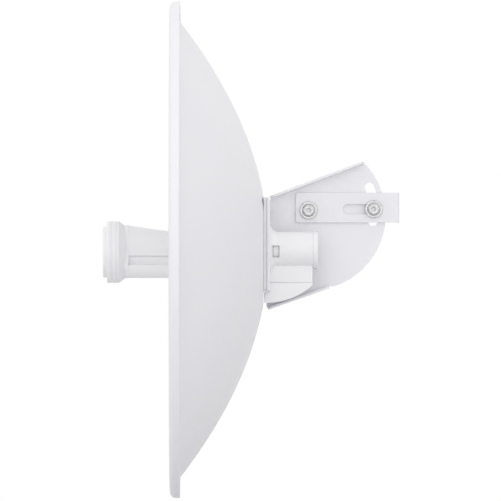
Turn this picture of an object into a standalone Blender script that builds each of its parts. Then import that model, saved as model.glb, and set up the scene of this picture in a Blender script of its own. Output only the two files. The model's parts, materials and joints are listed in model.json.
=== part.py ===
"""Outdoor wireless bridge: a parabolic dish with a plug-in feed radio, on a tilting pole bracket.

Metres, +Z up. The dish faces -Y and the bolt heads are on the +X side. The origin is on the axis
of the pole, at mid height of the pole bracket. Dish, feed and housing share one axis along Y,
which runs beside the pole and a little below the bracket.
"""

import math

import bmesh
import bpy
from mathutils import Matrix, Vector

# ---------------------------------------------------------------- driving dimensions
GAP = 0.0003  # air between neighbouring pieces
SHEET = 0.0025  # folded steel of the two brackets and the clamp jaw

AXIS_X = 0.066  # the dish's axis, beside the pole
AXIS_Z = -0.0442  # and below the pole bracket's middle

DISH_RADIUS = 0.260
DISH_SHEET = 0.001
FOCAL_LENGTH = 0.154
VERTEX_Y = -0.0797  # where the paraboloid's back would cross the axis
SEAT_Y = -0.0850  # back face of the flat seat pressed into the dish
SEAT_RADIUS = 0.058
LIP_RADIUS = 0.2528  # the front-most ring of the rim
RIM_FRONT_Y = -0.1833
RIM_BACK_Y = -0.1723
HUB_RADIUS = 0.0175  # hole for the feed's tail

PLATE_Y = -0.0798  # back face of the bracket's plate behind the dish
PLATE_LEFT, PLATE_RIGHT = 0.0316, 0.105
PLATE_BOTTOM, PLATE_TOP = -0.0885, 0.011
PLATE_LIP = 0.0017  # how far the plate's near edge turns back
DISH_BOLTS = [(AXIS_X + x, AXIS_Z + z) for x in (-0.026, 0.026) for z in (-0.038, 0.038)]
DISH_BOLT_HOLE = 0.0033
NUT_HOLE = 0.0046  # holes in the plate for the press nuts

EAR_X = 0.031  # far face of the ear, the plate that tilts on the pole bracket
EAR_ARC = (-0.0355, -0.0079, 0.0787)  # centre Y, centre Z and radius of the ear's rear edge
EAR_TOP_SLOPE = math.radians(20.4)
EAR_LOW_SLOPE = math.radians(19.1)
EAR_FLANGE = 0.010  # how far the stiffening flanges stand out

PIVOT = (-0.0375, -0.0028)  # Y, Z of the bolt that the antenna tilts on
TILT_BOLT = (0.0308, -0.0016)  # Y, Z of the bolt in the arc slot
SLOT_HALF = 0.00495  # half the arc slot's width
SLOT_LOW, SLOT_HIGH = math.radians(-9.8), math.radians(20.7)

STRAP_HALF = 0.0157  # half the height of the pole bracket
STRAP_FRONT, STRAP_BACK = -0.0509, 0.0575
STRAP_SLOT = (0.0035, 0.0052)  # Y of its front centre, and half its width
JAW_FRONT, JAW_BACK = -0.047, 0.040
VEE_TIP, VEE_ROOT = 0.009, 0.02136  # distance from the pole's axis to the jaws' tips and vee
VEE_HALF_ANGLE = math.radians(55)
VEE_TEETH, VEE_TOOTH = 4, 0.0011

BOLT_RADIUS = 0.0039
BOLT_HOLE = 0.0043
BOLT_END = -0.062
WASHER_RADIUS, WASHER_THICKNESS = 0.0102, 0.0016
HEAD_FLATS, HEAD_HEIGHT = 0.0125, 0.0053
NUT_FLATS, NUT_HEIGHT = 0.013, 0.0065

HOUSING_END_Y = -0.0279
HOUSING_BORE, HOUSING_RADIUS, HOUSING_FOOT = 0.0170, 0.0190, 0.0249
CHUTE_HALF, CHUTE_WALL = 0.009, 0.0018  # the cable chute below the housing
CHUTE_SPLIT = -0.0780  # its lower part is the cable cover
CHUTE_REAR_Y = -0.0336
LUG_HALF = 0.0030  # the lug under the end cap: half its width, then Y and Z from low to high
LUG_LOW, LUG_HIGH = (-0.0318, AXIS_Z - 0.0217), (-0.0284, AXIS_Z - 0.0180)
COVER_ARC = (-0.0823, -0.0262, 0.0737)  # centre Y, centre Z and radius of the cover's bottom
TAB_WINDOW = (-0.0753, -0.0684, -0.0079, 0.0042)  # Y range, and Z range about the axis

FEED_FRONT_Y = -0.2530
CAP_DROP = 0.0024  # the feed cap sits this much below the dish's axis
CAP_RADIUS = 0.0324
SHELL_FRONT_Y, SHELL_REAR_Y = -0.2283, -0.0889
SHELL_WAIST_Y = -0.182  # where the shells stop narrowing
SHELL_WALL = 0.0018
SHELL_SEAM = -0.0065  # the upper shell's edge, about the axis
SHELL_STEP = -0.0160  # the lower shell widens here
TAIL_RADIUS, TAIL_WALL = 0.0164, 0.0018
TAIL_FRONT_Y, TAIL_REAR_Y = -0.100, -0.0375
JACK_Y = (-0.0650, -0.0514)
JACK_HALF = 0.0080
RESET_Y = -0.0455
BOARD_HALF = 0.0110
BOARD_Z = 0.0020  # underside of the main board, about the axis
BOARD_THICKNESS = 0.0016

ROUND_STEPS = 32
DISH_STEPS = 64


# ---------------------------------------------------------------- scene and materials
def clear_scene():
    for obj in list(bpy.data.objects):
        bpy.data.objects.remove(obj, do_unlink=True)


def collection(name, hidden=False):
    made = bpy.data.collections.new(name)
    made.hide_render = hidden
    bpy.context.scene.collection.children.link(made)
    return made


def material(name, colour, roughness, metallic=0.0):
    made = bpy.data.materials.new(name)
    made.use_nodes = True
    shader = made.node_tree.nodes["Principled BSDF"]
    shader.inputs["Base Color"].default_value = (*colour, 1.0)
    shader.inputs["Roughness"].default_value = roughness
    shader.inputs["Metallic"].default_value = metallic
    made.diffuse_color = (*colour, 1.0)
    return made


clear_scene()
PARTS = collection("outdoor_wireless_bridge")
CUTTERS = collection("cutters", hidden=True)

POWDER_COAT = ("powder_coat", (0.80, 0.81, 0.83), 0.45)
PLASTIC = ("white_plastic", (0.82, 0.82, 0.81), 0.40)
ZINC = ("zinc_steel", (0.56, 0.57, 0.58), 0.35, 1.0)
RUBBER = ("rubber", (0.62, 0.62, 0.63), 0.70)  # pale silicone
LAMINATE = ("laminate", (0.03, 0.17, 0.07), 0.45)
BRASS = ("brass", (0.72, 0.53, 0.23), 0.30, 1.0)
ALUMINIUM = ("aluminium", (0.77, 0.78, 0.79), 0.40, 1.0)
BUTTON = ("button_plastic", (0.10, 0.10, 0.11), 0.50)
TIN = ("tin_plate", (0.62, 0.62, 0.61), 0.30, 1.0)


def finish(obj, look):
    """Puts the object in its collection, and gives a part its own material. A cutter has no look."""
    if look is None:
        CUTTERS.objects.link(obj)
        obj.hide_render = True
        obj.display_type = "WIRE"
        return obj
    PARTS.objects.link(obj)
    obj.data.materials.clear()
    obj.data.materials.append(material(f"{obj.name}_{look[0]}", *look[1:]))
    if obj.type == "MESH":
        obj.data.shade_smooth()
        obj.data.set_sharp_from_angle(angle=math.radians(35))
    return obj


# ---------------------------------------------------------------- outlines
def arc(centre, radius, start, end, steps):
    """Points along an arc, both ends included; angles in radians."""
    turn = (end - start) / steps
    return [
        (centre[0] + radius * math.cos(start + turn * i), centre[1] + radius * math.sin(start + turn * i))
        for i in range(steps + 1)
    ]


def circle(centre, radius, steps=24):
    return arc(centre, radius, 0, math.tau * (steps - 1) / steps, steps - 1)


def hexagon(centre, flats, turn=0.0):
    """A hexagon by its size across flats."""
    return arc(centre, flats / 2 / math.cos(math.pi / 6), turn, turn + math.tau * 5 / 6, 5)


def rounded_box(low, high, radius, steps=4):
    """A rectangle with round corners, counter-clockwise from its lower right one."""
    corners = ((high[0], low[1], -1), (high[0], high[1], 0), (low[0], high[1], 1), (low[0], low[1], 2))
    points = []
    for x, y, quarter in corners:
        centre = (x - math.copysign(radius, x - low[0] - 1e-9), y - math.copysign(radius, y - low[1] - 1e-9))
        points += arc(centre, radius, quarter * math.pi / 2, (quarter + 1) * math.pi / 2, steps)
    return points


def stadium(first, second, half, steps=8):
    """A slot with round ends between two centres."""
    way = math.atan2(second[1] - first[1], second[0] - first[0])
    ahead = arc(second, half, way - math.pi / 2, way + math.pi / 2, steps)
    return ahead + arc(first, half, way + math.pi / 2, way + 1.5 * math.pi, steps)


def arc_slot(centre, radius, start, end, half, steps=12):
    """A slot with round ends that follows an arc."""
    far = arc(centre, radius + half, start, end, steps)
    near = arc(centre, radius - half, end, start, steps)
    tip = (centre[0] + radius * math.cos(end), centre[1] + radius * math.sin(end))
    root = (centre[0] + radius * math.cos(start), centre[1] + radius * math.sin(start))
    ahead = arc(tip, half, end, end + math.pi, 8)[1:-1]
    behind = arc(root, half, start + math.pi, start + math.tau, 8)[1:-1]
    return far + ahead + near + behind


# ---------------------------------------------------------------- solids
FACING = {
    "X": Matrix(((0, 0, 1), (1, 0, 0), (0, 1, 0))).to_4x4(),  # an outline's points are (y, z)
    "Y": Matrix(((1, 0, 0), (0, 0, -1), (0, 1, 0))).to_4x4(),  # an outline's points are (x, z)
    "Z": Matrix.Identity(4),  # an outline's points are (x, y)
}


def welded_mesh(obj, name):
    """The evaluated mesh of a curve, with its caps joined to its sides."""
    graph = bpy.context.evaluated_depsgraph_get()
    mesh = bpy.data.meshes.new_from_object(obj.evaluated_get(graph))
    mesh.name = name
    shape = bmesh.new()
    shape.from_mesh(mesh)
    bmesh.ops.remove_doubles(shape, verts=shape.verts, dist=1e-6)
    bmesh.ops.recalc_face_normals(shape, faces=shape.faces)
    shape.to_mesh(mesh)
    shape.free()
    return mesh


def plate(name, outlines, facing, start, end, look):
    """A flat outline, its holes after it, extruded along X, Y or Z from start to end."""
    curve = bpy.data.curves.new(name, "CURVE")
    curve.dimensions = "2D"
    curve.fill_mode = "BOTH"
    curve.extrude = abs(end - start) / 2
    for outline in outlines:
        spline = curve.splines.new("POLY")
        spline.points.add(len(outline) - 1)
        for point, (a, b) in zip(spline.points, outline):
            point.co = (a, b, 0, 1)
        spline.use_cyclic_u = True
    guide = bpy.data.objects.new(name + "_outline", curve)
    bpy.context.scene.collection.objects.link(guide)
    mesh = welded_mesh(guide, name)
    bpy.data.objects.remove(guide, do_unlink=True)
    obj = bpy.data.objects.new(name, mesh)
    middle = Vector([(start + end) / 2 if axis == facing else 0.0 for axis in "XYZ"])
    obj.matrix_world = Matrix.Translation(middle) @ FACING[facing]
    return finish(obj, look)


def block(name, low, high, look):
    shape = bmesh.new()
    bmesh.ops.create_cube(shape, size=1.0)
    bmesh.ops.scale(shape, vec=Vector(high) - Vector(low), verts=shape.verts)
    mesh = bpy.data.meshes.new(name)
    shape.to_mesh(mesh)
    shape.free()
    obj = bpy.data.objects.new(name, mesh)
    obj.location = (Vector(low) + Vector(high)) / 2
    return finish(obj, look)


def rod(name, start, end, radius, look, steps=16, turn=0.0):
    """A cylinder, or with six steps a hexagonal bar, from one point to another."""
    start, end = Vector(start), Vector(end)
    shape = bmesh.new()
    bmesh.ops.create_cone(
        shape, cap_ends=True, segments=steps, radius1=radius, radius2=radius, depth=(end - start).length
    )
    bmesh.ops.rotate(shape, cent=(0, 0, 0), matrix=Matrix.Rotation(turn, 3, "Z"), verts=shape.verts)
    mesh = bpy.data.meshes.new(name)
    shape.to_mesh(mesh)
    shape.free()
    obj = bpy.data.objects.new(name, mesh)
    obj.location = (start + end) / 2
    obj.rotation_euler = (end - start).to_track_quat("Z", "Y").to_euler()
    return finish(obj, look)


def turned(name, profile, x, z, look, steps=ROUND_STEPS, closed=True):
    """A profile of (radius, forward) points, turned about an axis along -Y through (x, z).

    Forward is the distance ahead of the pole's axis, so a point's Y is minus its forward. The
    outer side runs from the front to the back.
    """
    mesh = bpy.data.meshes.new(name)
    count = len(profile)
    edges = [(i, (i + 1) % count) for i in range(count if closed else count - 1)]
    mesh.from_pydata([(radius, 0, forward) for radius, forward in profile], edges, [])
    obj = bpy.data.objects.new(name, mesh)
    obj.location = (x, 0, z)
    obj.rotation_euler = (math.pi / 2, 0, 0)
    screw = obj.modifiers.new("turn", "SCREW")
    screw.steps = screw.render_steps = steps
    screw.use_merge_vertices = True
    screw.merge_threshold = 1e-5
    return finish(obj, look)


def loft(name, sections, look):
    """A skin through rings of as many points each, given as (y, [(x, z), ...]), capped at both ends."""
    shape = bmesh.new()
    rings = [[shape.verts.new((x, y, z)) for x, z in points] for y, points in sections]
    for ring, following in zip(rings, rings[1:]):
        for i in range(len(ring)):
            j = (i + 1) % len(ring)
            shape.faces.new((ring[i], ring[j], following[j], following[i]))
    shape.faces.new(list(reversed(rings[0])))
    shape.faces.new(rings[-1])
    bmesh.ops.recalc_face_normals(shape, faces=shape.faces)
    mesh = bpy.data.meshes.new(name)
    shape.to_mesh(mesh)
    shape.free()
    obj = bpy.data.objects.new(name, mesh)
    obj.location = (AXIS_X, 0, AXIS_Z)
    return finish(obj, look)


def combine(obj, other, operation):
    boolean = obj.modifiers.new(operation.lower(), "BOOLEAN")
    boolean.operation = operation
    boolean.solver = "EXACT"
    boolean.object = other


def cut(obj, *others):
    for other in others:
        combine(obj, other, "DIFFERENCE")


def join(obj, *others):
    for other in others:
        combine(obj, other, "UNION")


# ---------------------------------------------------------------- pole bracket and clamp
NEAR_ARM = EAR_X + SHEET + GAP  # inner face of the arm on the bolt heads' side
FAR_ARM = EAR_X - GAP  # inner face of the arm on the pole's side


def vee_outline(back, side):
    """A flange with a toothed vee for the pole: (x, y) points, side +1 on the bracket's side."""
    deep = VEE_ROOT - VEE_TIP
    spread = deep * math.tan(VEE_HALF_ANGLE)
    points = [(side * back, JAW_FRONT + 0.002), (side * VEE_TIP, JAW_FRONT + 0.002)]
    for sign in (-1, 1):
        flank = []
        for i in range(VEE_TEETH):
            along, half = i / VEE_TEETH, 0.5 / VEE_TEETH
            tip = Vector((VEE_TIP + deep * along, sign * spread * (1 - along)))
            dip = Vector((VEE_TIP + deep * (along + half), sign * spread * (1 - along - half)))
            dip += VEE_TOOTH * Vector((math.sin(VEE_HALF_ANGLE), sign * math.cos(VEE_HALF_ANGLE)))
            flank += [(side * tip.x, tip.y), (side * dip.x, dip.y)]
        points += flank + [(side * VEE_ROOT, 0)] if sign < 0 else list(reversed(flank))
    return points + [(side * VEE_TIP, JAW_BACK - 0.002), (side * back, JAW_BACK - 0.002)]


def pole_bracket():
    """A strip folded back on itself like a hairpin round the ear, with toothed vees on its far arm."""
    outer_far, outer_near = FAR_ARM - SHEET, NEAR_ARM + SHEET
    bend = (outer_near - outer_far) / 2
    centre = ((outer_far + outer_near) / 2, STRAP_BACK - bend)
    outline = [(outer_near, STRAP_FRONT)]
    outline += arc(centre, bend, 0, math.pi, 10)
    outline += [(outer_far, JAW_FRONT), (FAR_ARM, JAW_FRONT)]
    outline += arc(centre, bend - SHEET, math.pi, 0, 10)
    outline += [(NEAR_ARM, STRAP_FRONT)]
    strap = plate("pole_bracket", [outline], "Z", -STRAP_HALF, STRAP_HALF, POWDER_COAT)
    inset = 0.0004
    for level, low in (("top", STRAP_HALF - inset - SHEET), ("bottom", -STRAP_HALF + inset)):
        vee = vee_outline(FAR_ARM - SHEET / 2, 1)
        join(strap, plate(f"bracket_vee_{level}", [vee], "Z", low, low + SHEET, None))
    past = 0.004
    pivot = rod(
        "bracket_pivot_hole", (outer_far - past, *PIVOT), (outer_near + past, *PIVOT), BOLT_HOLE, None
    )
    tilt = rod("bracket_tilt_hole", (outer_far - past, *TILT_BOLT), (EAR_X, *TILT_BOLT), BOLT_HOLE, None)
    front, half = STRAP_SLOT
    slot = stadium((front, TILT_BOLT[1]), TILT_BOLT, half)
    corners = []
    for level in (-1, 1):
        radius = 0.003
        y, z = STRAP_FRONT + radius, level * (STRAP_HALF - radius)
        bow = arc((y, z), radius, math.pi, math.pi + level * -math.pi / 2, 5)
        outside = [(y, level * (STRAP_HALF + past)), (STRAP_FRONT - past, level * (STRAP_HALF + past))]
        corners.append(bow + outside + [(STRAP_FRONT - past, z)])
    cut(strap, pivot, tilt)
    cut(strap, plate("bracket_slot", [slot], "X", EAR_X + SHEET / 2, outer_near + past, None))
    for corner, level in zip(corners, ("low", "high")):
        cut(strap, plate(f"bracket_corner_{level}", [corner], "X", EAR_X, outer_near + past, None))
    return strap


def bolts():
    """The two long bolts, with the washers under their heads and the nuts that lock the tilt."""
    washer = NEAR_ARM + SHEET + GAP
    head = washer + WASHER_THICKNESS + GAP
    made = []
    for name, (y, z), turn in (("pivot", PIVOT, 0.35), ("elevation", TILT_BOLT, 0.15)):
        corner = HEAD_FLATS / 2 / math.cos(math.pi / 6)
        bolt = rod(
            f"{name}_bolt", (head, y, z), (head + HEAD_HEIGHT, y, z), corner, ZINC, steps=6, turn=turn
        )
        join(bolt, rod(f"{name}_shank", (BOLT_END, y, z), (head + 0.002, y, z), BOLT_RADIUS, None))
        disc = [circle((y, z), WASHER_RADIUS, 32), circle((y, z), BOLT_HOLE, 16)]
        made += [bolt, plate(f"{name}_washer", disc, "X", washer, washer + WASHER_THICKNESS, ZINC)]
        far = FAR_ARM - SHEET - GAP
        nut = [hexagon((y, z), NUT_FLATS, turn), circle((y, z), BOLT_HOLE, 16)]
        made.append(plate(f"{name}_lock_nut", nut, "X", far - NUT_HEIGHT, far, ZINC))
    return made


def clamp():
    """The loose jaw on the far side of the pole, and the nuts and washers that draw it up."""
    inner = FAR_ARM - SHEET
    holes = [circle(PIVOT, BOLT_HOLE, 16), circle(TILT_BOLT, BOLT_HOLE, 16)]
    outline = rounded_box((JAW_FRONT, -STRAP_HALF), (JAW_BACK, STRAP_HALF), 0.003)
    jaw = plate("clamp_jaw", [outline, *holes], "X", -inner - SHEET, -inner, POWDER_COAT)
    inset = 0.0004
    for level, low in (("top", STRAP_HALF - inset - SHEET), ("bottom", -STRAP_HALF + inset)):
        vee = vee_outline(inner + SHEET / 2, -1)
        join(jaw, plate(f"jaw_vee_{level}", [vee], "Z", low, low + SHEET, None))
    made = [jaw]
    washer = -inner - SHEET - GAP
    nut = washer - WASHER_THICKNESS - GAP
    for name, place in (("front", PIVOT), ("rear", TILT_BOLT)):
        disc = [circle(place, WASHER_RADIUS, 32), circle(place, BOLT_HOLE, 16)]
        made.append(plate(f"clamp_washer_{name}", disc, "X", washer - WASHER_THICKNESS, washer, ZINC))
        outline = [hexagon(place, NUT_FLATS, 0.2), circle(place, BOLT_HOLE, 16)]
        made.append(plate(f"clamp_nut_{name}", outline, "X", nut - NUT_HEIGHT, nut, ZINC))
    return made


# ---------------------------------------------------------------- dish and its bracket
def dish():
    """A deep-drawn reflector: flat seat, paraboloid, and a rim rolled back into an open hem."""
    profile = [(HUB_RADIUS, -SEAT_Y), (SEAT_RADIUS, -SEAT_Y)]
    first, last, steps = SEAT_RADIUS + 0.004, LIP_RADIUS - 0.0023, 10
    for i in range(steps + 1):
        radius = first + (last - first) * i / steps
        profile.append((radius, -VERTEX_Y + radius**2 / (4 * FOCAL_LENGTH)))
    inner = DISH_RADIUS - DISH_SHEET
    profile += [
        (LIP_RADIUS, -RIM_FRONT_Y - DISH_SHEET),
        (inner - 0.0027, -RIM_FRONT_Y - 0.0025),
        (inner, -RIM_FRONT_Y - 0.0061),
        (inner, -RIM_BACK_Y),
    ]
    bowl = turned("dish", profile, AXIS_X, AXIS_Z, POWDER_COAT, steps=DISH_STEPS, closed=False)
    wall = bowl.modifiers.new("sheet", "SOLIDIFY")
    wall.thickness = DISH_SHEET
    wall.offset = 1.0
    wall.use_even_offset = True
    for number, (x, z) in enumerate(DISH_BOLTS, 1):
        start, end = (x, SEAT_Y - 0.01, z), (x, SEAT_Y + 0.01, z)
        cut(bowl, rod(f"dish_hole_{number}", start, end, DISH_BOLT_HOLE, None))
    return bowl


def hub_holes(bolt_hole):
    """The outlines of the holes for the feed's tail and for the dish's four bolts."""
    return [circle((AXIS_X, AXIS_Z), HUB_RADIUS, 32)] + [circle(at, bolt_hole, 16) for at in DISH_BOLTS]


def housing_screw_places():
    """Three places round the housing's foot, the first one on top."""
    middle = (HOUSING_BORE + HOUSING_FOOT) / 2
    return arc((AXIS_X, AXIS_Z), middle, math.pi / 2, math.pi / 2 + math.tau * 2 / 3, 2)


def dish_gasket():
    low = (PLATE_LEFT + 0.002, PLATE_BOTTOM + 0.0005)
    high = (PLATE_RIGHT - 0.001, PLATE_TOP - 0.0005)
    holes = hub_holes(DISH_BOLT_HOLE) + [circle(at, 0.0034, 16) for at in housing_screw_places()]
    outlines = [rounded_box(low, high, 0.004), *holes]
    return plate("dish_gasket", outlines, "Y", SEAT_Y + GAP, PLATE_Y - SHEET - GAP, RUBBER)


def ear_outline():
    """The ear's side view as (y, z): straight top and bottom edges, and a rear edge round the pivot."""
    y, z, radius = EAR_ARC
    front = PLATE_Y - SHEET + 0.0006
    inset = 0.0005
    top = (0.0198, 0.0487 - inset)
    low = math.radians(-90) + EAR_LOW_SLOPE
    high = math.atan2(top[1] - z, top[0] - y)
    rear = arc((y, z), radius, low, high, 20)
    chamfer = 0.0012
    corner_z = rear[0][1] - math.tan(EAR_LOW_SLOPE) * (rear[0][0] - front - chamfer)
    start_z = top[1] - math.tan(EAR_TOP_SLOPE) * (top[0] - front)
    return [(front, start_z), (front, corner_z + chamfer), (front + chamfer, corner_z)] + rear


def flange_outline(start, end, down):
    """A strip of the sheet's thickness along a straight edge from start to end."""
    way = (Vector(end) - Vector(start)).normalized()
    drop = Vector((way.y, -way.x)) * down * SHEET
    return [tuple(p) for p in (Vector(start), Vector(end), Vector(end) + drop, Vector(start) + drop)]


def dish_bracket():
    """The folded plate behind the dish: seat plate, near lip, tilting ear and its two flanges."""
    outline = rounded_box((PLATE_LEFT, PLATE_BOTTOM), (PLATE_RIGHT, PLATE_TOP), 0.002)
    holes = hub_holes(NUT_HOLE) + [circle(at, 0.0018, 12) for at in housing_screw_places()]
    seat = plate("dish_bracket", [outline, *holes], "Y", PLATE_Y - SHEET, PLATE_Y, POWDER_COAT)
    slot = arc_slot(PIVOT, math.dist(PIVOT, TILT_BOLT), SLOT_LOW, SLOT_HIGH, SLOT_HALF)
    edge = ear_outline()
    join(seat, plate("ear", [edge, circle(PIVOT, BOLT_HOLE, 16), slot], "X", EAR_X, EAR_X + SHEET, None))
    lip_low, lip_high = PLATE_BOTTOM + 0.0015, PLATE_TOP - 0.0015
    join(seat, block(
        "plate_lip",
        (PLATE_RIGHT - SHEET - 0.0004, PLATE_Y - SHEET / 2, lip_low),
        (PLATE_RIGHT - 0.0004, PLATE_Y + PLATE_LIP, lip_high),
        None,
    ))
    (front, top_z), _, corner, (low_y, low_z) = edge[:4]
    rear_y, rear_z = edge[-1]
    top = flange_outline((front + 0.0003, top_z + 0.0004), (rear_y - 0.0006, rear_z + 0.0004), 1)
    low = flange_outline((corner[0] + 0.0006, corner[1] - 0.0003), (low_y - 0.006, low_z - 0.0024), -1)
    for name, strip in (("top", top), ("bottom", low)):
        join(seat, plate(f"flange_{name}", [strip], "X", EAR_X + 0.001, EAR_X + SHEET + EAR_FLANGE, None))
    return seat


def dish_fasteners():
    """Pan-head bolts through the dish's seat, the flat press nuts that they turn into, and the
    screws that hold the housing. A nut's body fills its hole in the plate, and its collar is
    thin enough to stay behind the plate's near lip.
    """
    made = []
    head_back = -SEAT_Y + DISH_SHEET + GAP
    end = -PLATE_Y - 0.0012
    head = [(0, 0.0030), (0.0036, 0.0028), (0.0056, 0.0014), (0.0060, 0), (0.0028, 0)]
    bolt = [(radius, head_back + height) for radius, height in head] + [(0.0028, end), (0, end)]
    collar, body, bore = 0.0056, NUT_HOLE - 0.0002, 0.0031
    seat, back, front = -PLATE_Y - GAP, -PLATE_Y - 0.0014, -PLATE_Y + SHEET - 0.0003
    nut = [(body, front), (body, seat), (collar, seat), (collar, back), (bore, back), (bore, front)]
    for number, (x, z) in enumerate(DISH_BOLTS, 1):
        made.append(turned(f"dish_bolt_{number}", bolt, x, z, ZINC, steps=16, closed=False))
        made.append(turned(f"dish_nut_{number}", nut, x, z, ZINC, steps=16))
    head_back = -PLATE_Y + SHEET + GAP
    head = [(0, 0.0016), (0.0022, 0.0016), (0.0030, 0.0006), (0.0030, 0), (0.0014, 0)]
    screw = [(radius, head_back + height) for radius, height in head]
    screw += [(0.0014, head_back - 0.0052), (0, head_back - 0.0052)]
    for number, (x, z) in enumerate(housing_screw_places(), 1):
        made.append(turned(f"housing_screw_{number}", screw, x, z, ZINC, steps=12, closed=False))
    return made


# ---------------------------------------------------------------- rear housing
def rear_housing():
    """A tube with a flared foot on the bracket's plate, and a flat-sided chute for the cable below."""
    front = -PLATE_Y - GAP
    flare = arc((HOUSING_FOOT + 0.0012, front - 0.0096), 0.0072, math.radians(100), math.radians(180), 5)
    rear = -HOUSING_END_Y + 0.0054
    profile = [(HOUSING_FOOT, front), (HOUSING_FOOT, front - 0.0016)]
    profile += [point for point in flare if point[0] < HOUSING_FOOT]
    profile += [(HOUSING_RADIUS - 0.0001, rear), (HOUSING_BORE, rear), (HOUSING_BORE, front)]
    tube = turned("rear_housing", profile, AXIS_X, AXIS_Z, PLASTIC)
    join(tube, block(
        "chute",
        (AXIS_X - CHUTE_HALF, -front + 0.0002, CHUTE_SPLIT),
        (AXIS_X + CHUTE_HALF, CHUTE_REAR_Y, AXIS_Z - 0.0150),
        None,
    ))
    start, end = (AXIS_X, -front - 0.01, AXIS_Z), (AXIS_X, 0, AXIS_Z)
    bore = rod("housing_bore", start, end, HOUSING_BORE + 0.00001, None, steps=ROUND_STEPS)
    inside = CHUTE_HALF - CHUTE_WALL
    hollow = block(
        "chute_hollow",
        (AXIS_X - inside, -front + 0.003, CHUTE_SPLIT - 0.01),
        (AXIS_X + inside, CHUTE_REAR_Y - CHUTE_WALL, AXIS_Z - 0.010),
        None,
    )
    y0, y1, z0, z1 = TAB_WINDOW
    windows = block("tab_windows", (AXIS_X - 0.03, y0, AXIS_Z + z0), (AXIS_X + 0.03, y1, AXIS_Z + z1), None)
    cut(tube, bore, hollow, windows)
    for number, (x, z) in enumerate(housing_screw_places(), 1):
        start, end = (x, PLATE_Y - 0.01, z), (x, PLATE_Y + GAP + 0.0035, z)
        cut(tube, rod(f"housing_screw_hole_{number}", start, end, 0.0018, None, steps=12))
    return tube


def housing_end_cap():
    """The cap in the tube's end, with the small lug that it is pulled off by."""
    rear = -HOUSING_END_Y
    profile = [
        (0, rear + 0.0025), (0.0149, rear + 0.0025), (0.0149, rear + 0.0076), (0.0167, rear + 0.0076),
        (0.0167, rear + 0.0051), (HOUSING_RADIUS, rear + 0.0051), (HOUSING_RADIUS, rear + 0.0013),
        (HOUSING_RADIUS - 0.0013, rear), (0, rear),
    ]
    cap = turned("housing_end_cap", profile, AXIS_X, AXIS_Z, PLASTIC, closed=False)
    join(cap, block("cap_lug", (AXIS_X - LUG_HALF, *LUG_LOW), (AXIS_X + LUG_HALF, *LUG_HIGH), None))
    return cap


def cable_cover():
    """The chute's lower part: it slides down for the plug, and has the cable's outlet in its floor."""
    y, z, radius = COVER_ARC
    front, toe = PLATE_Y + GAP, SEAT_Y + 0.0007
    top = CHUTE_SPLIT - GAP
    floor = arc((y, z), radius, math.asin((-0.0816 - z) / radius), math.radians(-91.5), 10)
    outline = [(front, top), (CHUTE_REAR_Y, top)] + floor
    outline += [(toe, floor[-1][1]), (toe, PLATE_BOTTOM - GAP), (front, PLATE_BOTTOM - GAP)]
    outline[2 + len(floor) - 1] = (toe + 0.0006, floor[-1][1])
    cover = plate("cable_cover", [outline], "X", AXIS_X - CHUTE_HALF, AXIS_X + CHUTE_HALF, PLASTIC)
    inside = CHUTE_HALF - CHUTE_WALL
    rear = CHUTE_REAR_Y - CHUTE_WALL
    reach = radius - CHUTE_WALL
    end = -math.acos((rear - y) / reach)
    hollow = arc((y, z), reach, end, -math.acos((front + 0.003 - y) / reach), 8)
    hollow += [(front + 0.003, top + 0.01), (rear, top + 0.01)]
    cut(cover, plate("cover_hollow", [hollow], "X", AXIS_X - inside, AXIS_X + inside, None))
    cut(cover, block(
        "cable_outlet",
        (AXIS_X - 0.0045, front + 0.0038, -0.110),
        (AXIS_X + 0.0045, front + 0.0138, -0.090),
        None,
    ))
    return cover


# ---------------------------------------------------------------- feed
def upper_section(width, height):
    """The upper shell's wall: half an ellipse on short straight sides, about the axis."""
    turns = [math.pi * i / 14 for i in range(15)]
    outer = [(width * math.cos(a), height * math.sin(a)) for a in turns]
    width, height = width - SHELL_WALL, height - SHELL_WALL
    inner = [(width * math.cos(a), height * math.sin(a)) for a in reversed(turns)]
    ends = [(inner[0][0], SHELL_SEAM), (inner[-1][0], SHELL_SEAM)]
    return [(outer[0][0], SHELL_SEAM)] + outer + [(outer[-1][0], SHELL_SEAM), ends[0]] + inner + [ends[1]]


def lower_section(width, depth, corner):
    """The lower shell's wall: a tray whose sides step in where the upper shell's edge covers them."""
    inset = 0.0015
    top = SHELL_SEAM - GAP
    centre = (width - corner, -depth + corner)
    outer = [(width - inset, top), (width - inset, SHELL_STEP), (width, SHELL_STEP - 0.0006)]
    outer += arc(centre, corner, 0, -math.pi / 2, 6)
    inner_width = width - inset - SHELL_WALL
    inner = [(inner_width, top), (inner_width, SHELL_STEP)]
    for x, z in arc((0, 0), 1, 0, -math.pi / 2, 6):
        inner.append((centre[0] + x * (inner_width - centre[0]), centre[1] + z * (corner - SHELL_WALL)))
    def mirrored(points):
        return [(-x, z) for x, z in reversed(points)]
    return outer + mirrored(outer) + list(reversed(mirrored(inner))) + list(reversed(inner))


FRONT_SIZE, REAR_SIZE = (0.0245, 0.0259), (0.0190, 0.0188)  # half width and height above the axis
DEPTH, FRONT_CORNER, REAR_CORNER = 0.0296, 0.0135, 0.0080  # below the axis, and the tray's corners


def feed_shells():
    upper = [(SHELL_FRONT_Y, upper_section(*FRONT_SIZE))]
    upper += [(y, upper_section(*REAR_SIZE)) for y in (SHELL_WAIST_Y, SHELL_REAR_Y)]
    lower = [(SHELL_FRONT_Y, lower_section(FRONT_SIZE[0], DEPTH, FRONT_CORNER))]
    lower += [(y, lower_section(REAR_SIZE[0], DEPTH, REAR_CORNER)) for y in (SHELL_WAIST_Y, SHELL_REAR_Y)]
    return [loft("feed_shell_upper", upper, PLASTIC), loft("feed_shell_lower", lower, PLASTIC)]


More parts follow.
